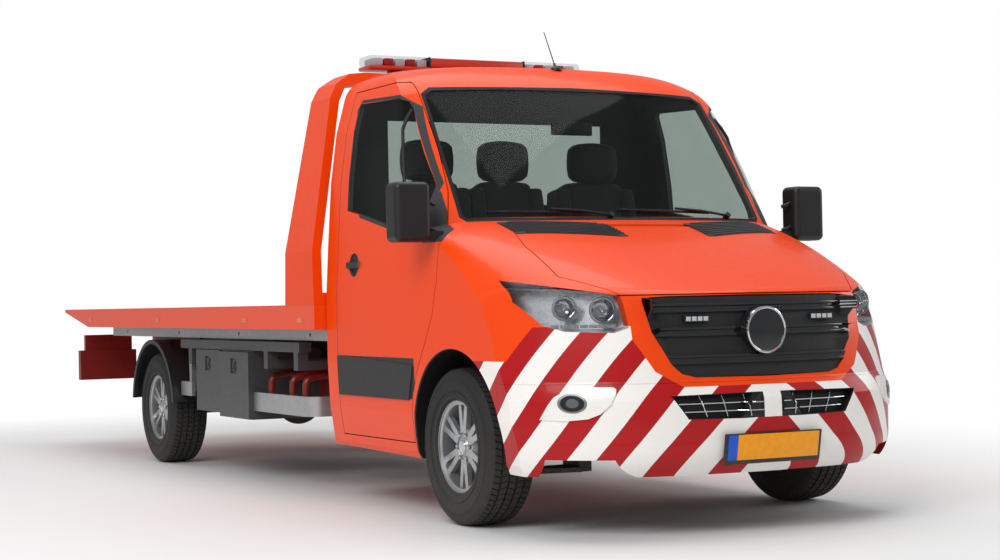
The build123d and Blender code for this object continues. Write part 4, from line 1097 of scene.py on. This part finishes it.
def dress_intakes():
    """The dark middle of the lower intake and the bright mesh in its two halves."""
    middle = patch(INTAKE_INNER, on_front, REARWARD, 0.0, 0.0015, 2)
    middle.both_sides().place("intake_middle", MATT_BLACK, "chassis", "black_plastic")
    wires = Shape()
    for z, end in MESH_ACROSS:
        line = [front_point(MESH_START + (end - MESH_START) * k / 10, z, MESH_LIFT) for k in range(11)]
        wires.tube(line, MESH_WIRE, 8)
    for low, high in MESH_RISING:
        line = [front_point(low + (high - low) * k / 4, MESH_FOOT + MESH_RISE * k / 4, MESH_LIFT)
                for k in range(5)]
        wires.tube(line, MESH_WIRE, 8)
    wires.both_sides().place("intake_mesh", CHROME, "chassis", "alloy", smooth=False)


PLATE_X = AXLE_X + 1.044
PLATE_MID = 0.365
PLATE_FOOT, PLATE_TOP = 0.314, 0.421
PLATE_LEAN = math.radians(10)


def dress_plate():
    """The bare number plate with its blue end, on a holder."""
    tilt = Matrix.Rotation(PLATE_LEAN, 3, "Y")
    holder = Shape().box((PLATE_X - 0.008, -0.250, 0.296), (PLATE_X + 0.003, 0.236, 0.426), tilt)
    holder.place("plate_holder", BLACK_PLASTIC, "chassis", "black_plastic", bevel=0.003)
    for name, low, high, finish in (("plate_face", -0.188, 0.222, PLATE),
                                    ("plate_strip", -0.235, -0.1885, PLATE_BLUE)):
        face = Shape().box((PLATE_X + 0.002, low, PLATE_FOOT), (PLATE_X + 0.0065, high, PLATE_TOP), tilt,
                           (PLATE_X, 0, PLATE_MID))
        face.place(name, finish, "chassis", "body_paint", bevel=0.001)


VENT_ENDS = (0.215, 0.700)     # each vent's reach across, from the middle
VENT_SLATS = 8
VENT_ROWS = 6
SCUTTLE_SPAN = (-0.06, 0.115)   # stations on the panels each side of the gap behind the bonnet


VENT_KNEE = 0.25             # the vent's edges are named here, across from the middle
VENT_REAR, REAR_SWEEP = 0.035, 0.262       # station of the rear edge there, and its sweep outwards
VENT_FRONT, FRONT_SWEEP = 0.262, 0.343
VENT_LIFT, VENT_THICK = 0.003, 0.006
SLAT_LIFT, SLAT_R = 0.005, 0.0036
OVER_GAP = Vector((0.2, 0, 0.98))          # which way the panels face about the gap


def vent_point(y, share, lift):
    """A point over the vent at y: share 0 is its rear edge and 1 its front edge."""
    rear = VENT_REAR - (y - VENT_KNEE) * REAR_SWEEP
    front = VENT_FRONT - max(0.0, y - VENT_KNEE) * FRONT_SWEEP
    x = rear + (front - rear) * share
    found = land((AXLE_X + x, y, ABOVE), DOWN) if x > SCUTTLE_SPAN[1] else None
    if found:
        return found[0] + found[1] * lift
    low, high = (land((AXLE_X + end, y, ABOVE), DOWN)[0] for end in SCUTTLE_SPAN)
    share_over = (x - SCUTTLE_SPAN[0]) / (SCUTTLE_SPAN[1] - SCUTTLE_SPAN[0])
    return low.lerp(high, share_over) + OVER_GAP * lift


def sheet(rows, thick):
    """A thin sheet over rows of points, thickened downwards and closed round its rim."""
    wide, last = len(rows[0]), len(rows) - 1
    top = [p for row in rows for p in row]
    count = len(top)
    faces = [(r * wide + c, r * wide + c + 1, (r + 1) * wide + c + 1, (r + 1) * wide + c)
             for r in range(last) for c in range(wide - 1)]
    rim = [*range(wide), *(r * wide + wide - 1 for r in range(1, last + 1)),
           *(last * wide + c for c in range(wide - 2, -1, -1)), *(r * wide for r in range(last - 1, 0, -1))]
    faces += [tuple(count + i for i in reversed(face)) for face in faces]
    faces += [(i, j, count + j, count + i) for i, j in zip(rim, rim[1:] + rim[:1])]
    return Shape().add(top + [p - Vector((0, 0, thick)) for p in top], faces)


def dress_vents():
    """The two slatted vents ahead of the windscreen."""
    reach = [VENT_ENDS[0] + (VENT_ENDS[1] - VENT_ENDS[0]) * k / 12 for k in range(13)]
    rows = [[vent_point(y, k / VENT_ROWS, VENT_LIFT) for y in reach] for k in range(VENT_ROWS + 1)]
    sheet(rows, VENT_THICK).both_sides().place("scuttle_vents", MATT_BLACK, "chassis", "black_plastic")
    slats = Shape()
    for k in range(VENT_SLATS):
        line = reach[1:-1] if k in (0, VENT_SLATS - 1) else reach
        slats.tube([vent_point(y, (k + 0.5) / VENT_SLATS, SLAT_LIFT) for y in line], SLAT_R, 6)
    slats.both_sides().place("scuttle_slats", DARK_TRIM, "chassis", "trim")


WIPERS = ((0.58, -0.04, 1.405), (-0.10, -0.70, 1.395))     # root across, tip across, tip height
WIPER_ROOT_Z, WIPER_MID_Z = 1.372, 1.40
BLADE_ROOT_Z = 1.392
BLADE_BACK = 0.10            # the blade begins this far before the arm's root
ARM_R, BLADE_R, SPINDLE_R = 0.006, 0.0065, 0.014


def dress_wipers():
    """Two arms with their blades, laid over the foot of the windscreen."""
    glass = surface_of("windscreen", "cab_shell")
    arms = Shape()
    blades = Shape()
    for root_y, tip_y, tip_z in WIPERS:
        root = land((AHEAD, root_y, WIPER_ROOT_Z), REARWARD, glass)
        tip = land((AHEAD, tip_y, tip_z), REARWARD, glass)
        middle = land((AHEAD, (root_y + tip_y) / 2, (WIPER_MID_Z + tip_z) / 2), REARWARD, glass)
        a = root[0] + root[1] * 0.020
        c = middle[0] + middle[1] * 0.024
        arms.tube([a, (a + c) / 2 + Vector((0, 0, 0.006)), c], ARM_R, 8)
        arms.rod(root[0] - root[1] * 0.004, root[0] + root[1] * 0.03, SPINDLE_R)
        line = []
        for k in range(9):
            y = (root_y - BLADE_BACK) + (tip_y - root_y + BLADE_BACK) * k / 8
            z = BLADE_ROOT_Z + (tip_z - BLADE_ROOT_Z) * k / 8
            found = land((AHEAD, y, z), REARWARD, glass)
            line.append(found[0] + found[1] * 0.009)
        blades.tube(line, BLADE_R, 6)
    arms.place("wiper_arms", BLACK_PLASTIC, "chassis", "black_plastic")
    blades.place("wiper_blades", GLOSS_BLACK, "chassis", "black_plastic")


# ---------------------------------------------------------------- cab sides and roof
MIRROR_Y, MIRROR_HALF = 1.0875, 0.069
MIRROR_FOOT, MIRROR_TOP = 1.290, 1.502
MIRROR_ARMS = (1.335, 1.452)


def dress_mirrors():
    """The glass and the two arms of each mirror."""
    for side, body in ((1, "left_door"), (-1, "right_door")):
        middle = side * MIRROR_Y
        glass = Shape().box((AXLE_X - 0.2655, middle - MIRROR_HALF, MIRROR_FOOT),
                            (AXLE_X - 0.2625, middle + MIRROR_HALF, MIRROR_TOP))
        glass.place(f"mirror_glass_{body}", MIRROR_GLASS, body, "glass", bevel=0.0012)
        arms = Shape()
        for z in MIRROR_ARMS:
            arms.tube([(AXLE_X - 0.190, side * 1.010, z), (AXLE_X - 0.185, side * 0.985, z - 0.012),
                       (AXLE_X - 0.200, side * 0.958, z - 0.020)], 0.010)
        arms.place(f"mirror_arms_{body}", BLACK_PLASTIC, body, "black_plastic")


BAR_FOOT = (-0.458, 1.325)     # station and height of the window bar's ends
BAR_TOP = (-0.634, 1.905)


def dress_windows():
    """The upright bar across each door window."""
    for side, name, body in ((1, "glass_left", "left_door"), (-1, "glass_right", "right_door")):
        glass = surface_of(name)
        path = []
        for k in range(13):
            x = AXLE_X + BAR_FOOT[0] + (BAR_TOP[0] - BAR_FOOT[0]) * k / 12
            z = BAR_FOOT[1] + (BAR_TOP[1] - BAR_FOOT[1]) * k / 12
            found = land((x, side * 1.5, z), (0, -side, 0), glass)
            if found:
                path.append(found[0] + found[1] * 0.002)
        Shape().tube(path, 0.0085, 8).place(f"window_bar_{body}", BLACK_PLASTIC, body, "black_plastic")


SEAT_HEADS = {"driver_seat": (0.40,), "passenger_bench": (-0.56, -0.13)}   # where the headrests stand
SEAT_EDGE = 0.004            # cushions stay this far inside the seat's sides
CUSHION_FOOT, CUSHION_TOP, BOLSTER_TOP = 0.800, 0.925, 0.945
BACK_FOOT, BACK_TOP, BACK_BOLSTER_TOP = 0.900, 1.590, 1.560
BOLSTER_CROWN = 0.008
HEAD_FOOT, HEAD_TOP, HEAD_HALF = 1.612, 1.792, 0.125
BACK_LEAN = math.radians(-7)


def pillow(low, high, crown=0.018, turn=None):
    """A padded block: a box whose faces swell towards their middles and whose corners are drawn in."""
    form = bmesh.new()
    bmesh.ops.create_cube(form, size=2.0)
    bmesh.ops.subdivide_edges(form, edges=form.edges, cuts=9, use_grid_fill=True)
    half = [(b - a) / 2 for a, b in zip(low, high)]
    mid = Vector([(a + b) / 2 for a, b in zip(low, high)])
    radius = min(half) * 0.55
    for v in form.verts:
        p = Vector([v.co[i] * half[i] for i in range(3)])
        core = Vector([max(-(half[i] - radius), min(half[i] - radius, p[i])) for i in range(3)])
        away = p - core
        if away.length > 1e-6:
            away.normalize()
        swell = (1 - v.co.x ** 2) * (1 - v.co.y ** 2) + (1 - v.co.y ** 2) * (1 - v.co.z ** 2)
        swell += (1 - v.co.x ** 2) * (1 - v.co.z ** 2)
        p = core + away * radius + away * crown * min(swell, 1.0)
        if turn:
            p = turn @ p
        v.co = mid + p
    mesh = bpy.data.meshes.new("pillow")
    form.to_mesh(mesh)
    form.free()
    return mesh


def joined(meshes, name):
    """Several meshes as one."""
    form = bmesh.new()
    for mesh in meshes:
        form.from_mesh(mesh)
    out = bpy.data.meshes.new(name)
    form.to_mesh(out)
    form.free()
    return out


def seat_padding(a, b, lean):
    """One seat between a and b across the cab: cushion and back, each with a bolster at either side."""
    base = AXLE_X - 1.080
    rear = AXLE_X - 1.160
    front = AXLE_X - 0.585
    face = AXLE_X - 1.015
    cushion = ((base + 0.005, a + 0.055, CUSHION_FOOT), (front + 0.015, b - 0.055, CUSHION_TOP))
    back = ((rear + 0.005, a + 0.05, BACK_FOOT), (face - 0.020, b - 0.05, BACK_TOP))
    meshes = [pillow(*cushion)]
    for y0, y1 in ((a, a + 0.085), (b - 0.085, b)):
        meshes.append(pillow((base, y0, CUSHION_FOOT), (front, y1, BOLSTER_TOP), BOLSTER_CROWN))
    meshes.append(pillow(*back, turn=lean))
    for y0, y1 in ((a, a + 0.080), (b - 0.080, b)):
        meshes.append(pillow((rear, y0, BACK_FOOT), (face, y1, BACK_BOLSTER_TOP), BOLSTER_CROWN, lean))
    return meshes


def dress_seats():
    """Padded cushions, backs and headrests in place of the plain seat solids."""
    lean = Matrix.Rotation(BACK_LEAN, 3, "Y")
    for node, heads in SEAT_HEADS.items():
        low, high = (Vector(c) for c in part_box(node))
        y0, y1 = low.y + SEAT_EDGE, high.y - SEAT_EDGE
        meshes = []
        step = (y1 - y0) / len(heads)
        for k in range(len(heads)):
            meshes += seat_padding(y0 + step * k + 0.002, y0 + step * (k + 1) - 0.002, lean)
        for centre in heads:
            meshes.append(pillow((AXLE_X - 1.150, centre - HEAD_HALF, HEAD_FOOT),
                                 (AXLE_X - 1.055, centre + HEAD_HALF, HEAD_TOP)))
        made = place_piece(f"padded_{node}", joined(meshes, node), CLOTH_FINISH, "chassis")
        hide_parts(node)
        posts = Shape()
        for centre in heads:
            for dy in (-0.06, 0.06):
                posts.rod((AXLE_X - 1.105, centre + dy, 1.56), (AXLE_X - 1.103, centre + dy, 1.64), 0.006)
        posts.place(f"headrest_posts_{node}", CHROME, "chassis", "steel_rod")
        plinth = Shape().box((AXLE_X - 1.06, y0 + 0.03, low.z + 0.001), (AXLE_X - 0.60, y1 - 0.03, 0.83))
        plinth.place(f"seat_base_{node}", DARK_TRIM, "chassis", "trim", bevel=0.012)


AERIAL_LONG = 0.235          # cut short to stay by the solids' box
AERIAL_RAKE = Vector((-0.205, 0, 0.350)).normalized()


INNER_MIRROR = ((AXLE_X - 0.62, -0.115, 1.80), (AXLE_X - 0.60, 0.115, 1.865))     # its box's corners
ABOVE_AERIAL = (AXLE_X - 0.754, 0, 3.0)
# height and radius along the aerial's foot and whip
AERIAL_FOOT = ((-0.004, 0.030), (0.006, 0.028), (0.014, 0.016), (0.018, 1e-5))
AERIAL_WHIP = ((0.0, 0.009), (0.035, 0.006), (0.04, 0.0032), (AERIAL_LONG, 0.0022), (AERIAL_LONG, 1e-5))


def dress_cab():
    """The inner mirror and the short aerial on the roof."""
    inner = Shape().box(*INNER_MIRROR)
    inner.place("inner_mirror", BLACK_PLASTIC, "chassis", "black_plastic", bevel=0.008)
    foot = land(ABOVE_AERIAL, DOWN)[0]
    aerial = Shape().turned(AERIAL_FOOT, foot, (0, 0, 1), 24).turned(AERIAL_WHIP, foot, AERIAL_RAKE, 12)
    aerial.place("aerial", BLACK_PLASTIC, "chassis", "black_plastic")


# ---------------------------------------------------------------- deck, headboard and tail
BAR_TALL = 0.076             # from the base's underside to the top
BASE_TALL = 0.022
BAR_MIDDLE = 0.282           # half the plain middle
BAR_LAMPS, LAMP_START, LAMP_STEP, LAMP_HALF = 5, 0.325, 0.064, 0.027
BAR_FEET = (-0.470, 0.470)
BAR_FOOT_REAR, BAR_FOOT_FRONT = 0.070, 0.130       # from the bar's rear face
BAR_FOOT_HALF = 0.030


def dress_light_bar():
    """The bar: feet and a red base, clear covers over red and clear lamps, and a plain red middle."""
    low, high = (Vector(c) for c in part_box("light_bar"))
    x0, x1, y1, z1 = low.x, high.x, high.y, high.z
    floor = z1 - BAR_TALL
    shelf = floor + BASE_TALL - 0.001
    base = Shape().box((x0 + 0.002, -y1 + 0.002, floor), (x1 - 0.002, y1 - 0.002, floor + BASE_TALL))
    made = base.place("bar_base", BAR_RED, "load_deck", "light_bar", bevel=0.008)
    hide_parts("light_bar")
    feet = Shape()
    for y in BAR_FEET:
        feet.box((x0 + BAR_FOOT_REAR, y - BAR_FOOT_HALF, low.z),
                 (x0 + BAR_FOOT_FRONT, y + BAR_FOOT_HALF, floor + 0.003))
    feet.place("bar_feet", BLACK_PLASTIC, "load_deck", "black_plastic", bevel=0.003)
    middle = Shape().box((x0 + 0.005, -BAR_MIDDLE, shelf), (x1 - 0.005, BAR_MIDDLE, z1 - 0.004))
    middle.place("bar_middle", BAR_RED, "load_deck", "light_bar", bevel=0.010)
    covers, red, clear, joints = Shape(), Shape(), Shape(), Shape()
    covers.box((x0 + 0.003, BAR_MIDDLE + 0.005, shelf), (x1 - 0.003, y1 - 0.003, z1 - 0.0005))
    for k in range(BAR_LAMPS):
        y = LAMP_START + LAMP_STEP * k
        lamp = red if k % 2 else clear
        lamp.box((x0 + 0.018, y - LAMP_HALF, shelf), (x1 - 0.018, y + LAMP_HALF, z1 - 0.014))
    joints.box((x0 + 0.002, BAR_MIDDLE - 0.001, floor + 0.010), (x1 - 0.002, BAR_MIDDLE + 0.006, z1 - 0.0002))
    covers.both_sides().place("bar_covers", LENS, "load_deck", "light_bar", bevel=0.016)
    red.both_sides().place("bar_red_lamps", RED_LENS, "load_deck", "light_bar", bevel=0.006)
    clear.both_sides().place("bar_clear_lamps", CLEAR_LENS, "load_deck", "light_bar", bevel=0.006)
    joints.both_sides().place("bar_joints", BLACK_PLASTIC, "load_deck", "black_plastic", bevel=0.003)


TAIL_X = AXLE_X - 6.053
TAIL_FOOT, TAIL_TOP = 0.702, 0.788
DECK_SIDE = 1.0495           # the outer face that the markers stand on
TAIL_RED, TAIL_TURN, TAIL_STOP = (0.63, 0.74), (0.745, 0.835), (0.84, 0.95)     # spans across
TAIL_HALF = 0.006            # half the lamps' depth
REVERSE_SPAN, REVERSE_LEVEL = (0.655, 0.715), (0.706, 0.728)
MARKER_HALF, MARKER_FOOT, MARKER_TOP, MARKER_THICK = 0.035, 0.900, 0.925, 0.0035
MARKERS = (-5.55, -4.02, -2.45, -1.62)     # stations of the amber markers along the deck


def dress_tail():
    """Rear, turning and reversing lamps on the tail board, and the markers along the deck."""
    red = Shape()
    amber = Shape()
    white = Shape()
    for span, which in ((TAIL_RED, red), (TAIL_TURN, amber), (TAIL_STOP, red)):
        which.box((TAIL_X - TAIL_HALF, span[0], TAIL_FOOT), (TAIL_X + TAIL_HALF, span[1], TAIL_TOP))
    white.box((TAIL_X - TAIL_HALF + 0.0005, REVERSE_SPAN[0], REVERSE_LEVEL[0]),
              (TAIL_X - TAIL_HALF - 0.0005, REVERSE_SPAN[1], REVERSE_LEVEL[1]))
    red.both_sides().place("tail_lamps", RED_LENS, "tilt_bed", "lamp", bevel=0.004)
    amber.both_sides().place("turn_lamps", AMBER_LENS, "tilt_bed", "lamp", bevel=0.004)
    white.both_sides().place("reverse_lamps", CLEAR_LENS, "tilt_bed", "lamp")
    marks = Shape()
    for station in MARKERS:
        x = AXLE_X + station
        marks.box((x - MARKER_HALF, DECK_SIDE, MARKER_FOOT),
                  (x + MARKER_HALF, DECK_SIDE + MARKER_THICK, MARKER_TOP))
    marks.both_sides().place("side_markers", AMBER_LENS, "load_deck", "lamp", bevel=0.0015)


# each lid's lock: station, how far out, the lid's top and the body it rides on
BOX_LOCKS = {"toolbox_lid_front": (-2.845, 0.980, 0.735, "lid_front"),
             "toolbox_lid_rear": (-3.375, 0.950, 0.739, "lid_rear")}


LOCK_INSET, LOCK_DROP = 0.016, 0.090       # the lock's foot lies this far in, and below the lid's top
LOCK_BARREL = ((0, 0.030), (0.010, 0.030), (0.013, 0.026), (0.013, 1e-5))       # depth and radius


def dress_toolboxes():
    """A round lock with its grip on each lid."""
    for node, (station, out, top, body) in BOX_LOCKS.items():
        x, y, z = AXLE_X + station, -(out - LOCK_INSET), top - LOCK_DROP
        lock = Shape().turned(LOCK_BARREL, (x, y, z), (0, -1, 0), 28)
        lock.box((x - 0.004, y - 0.016, z - 0.014), (x + 0.004, y - 0.010, z + 0.014))
        lock.place(f"lock_{node}", BLACK_PLASTIC, body, "black_plastic", bevel=0.001)


ROPE_TURNS, ROPE_START, ROPE_PITCH = 20, -0.145, 0.0152
# one turn's outline: along the drum, and radius
ROPE_TURN = ((-0.0075, 0.058), (-0.005, 0.0625), (0, 0.0645), (0.005, 0.0625), (0.0075, 0.058))


def dress_winch():
    """Rope turns on the drum."""
    rope = Shape()
    low, high = (Vector(c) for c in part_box("winch_drum"))
    for k in range(ROPE_TURNS):
        y = ROPE_START + ROPE_PITCH * k
        rope.ring(ROPE_TURN, ((low.x + high.x) / 2, y, (low.z + high.z) / 2), (0, 1, 0), 28)
    rope.place("rope_turns", ROPE, "drum", "rope")


set_camera()
set_floor()
set_world()
set_lights()
dress_wheels()
dress_grille()
dress_strobes()
dress_badge()
dress_headlamps()
dress_lamp_insides()
dress_fog_lamps()
dress_intakes()
dress_plate()
dress_vents()
dress_wipers()
dress_mirrors()
dress_windows()
dress_seats()
dress_cab()
dress_light_bar()
dress_tail()
dress_toolboxes()
dress_winch()

bpy.context.scene.view_settings.view_transform = "Standard"
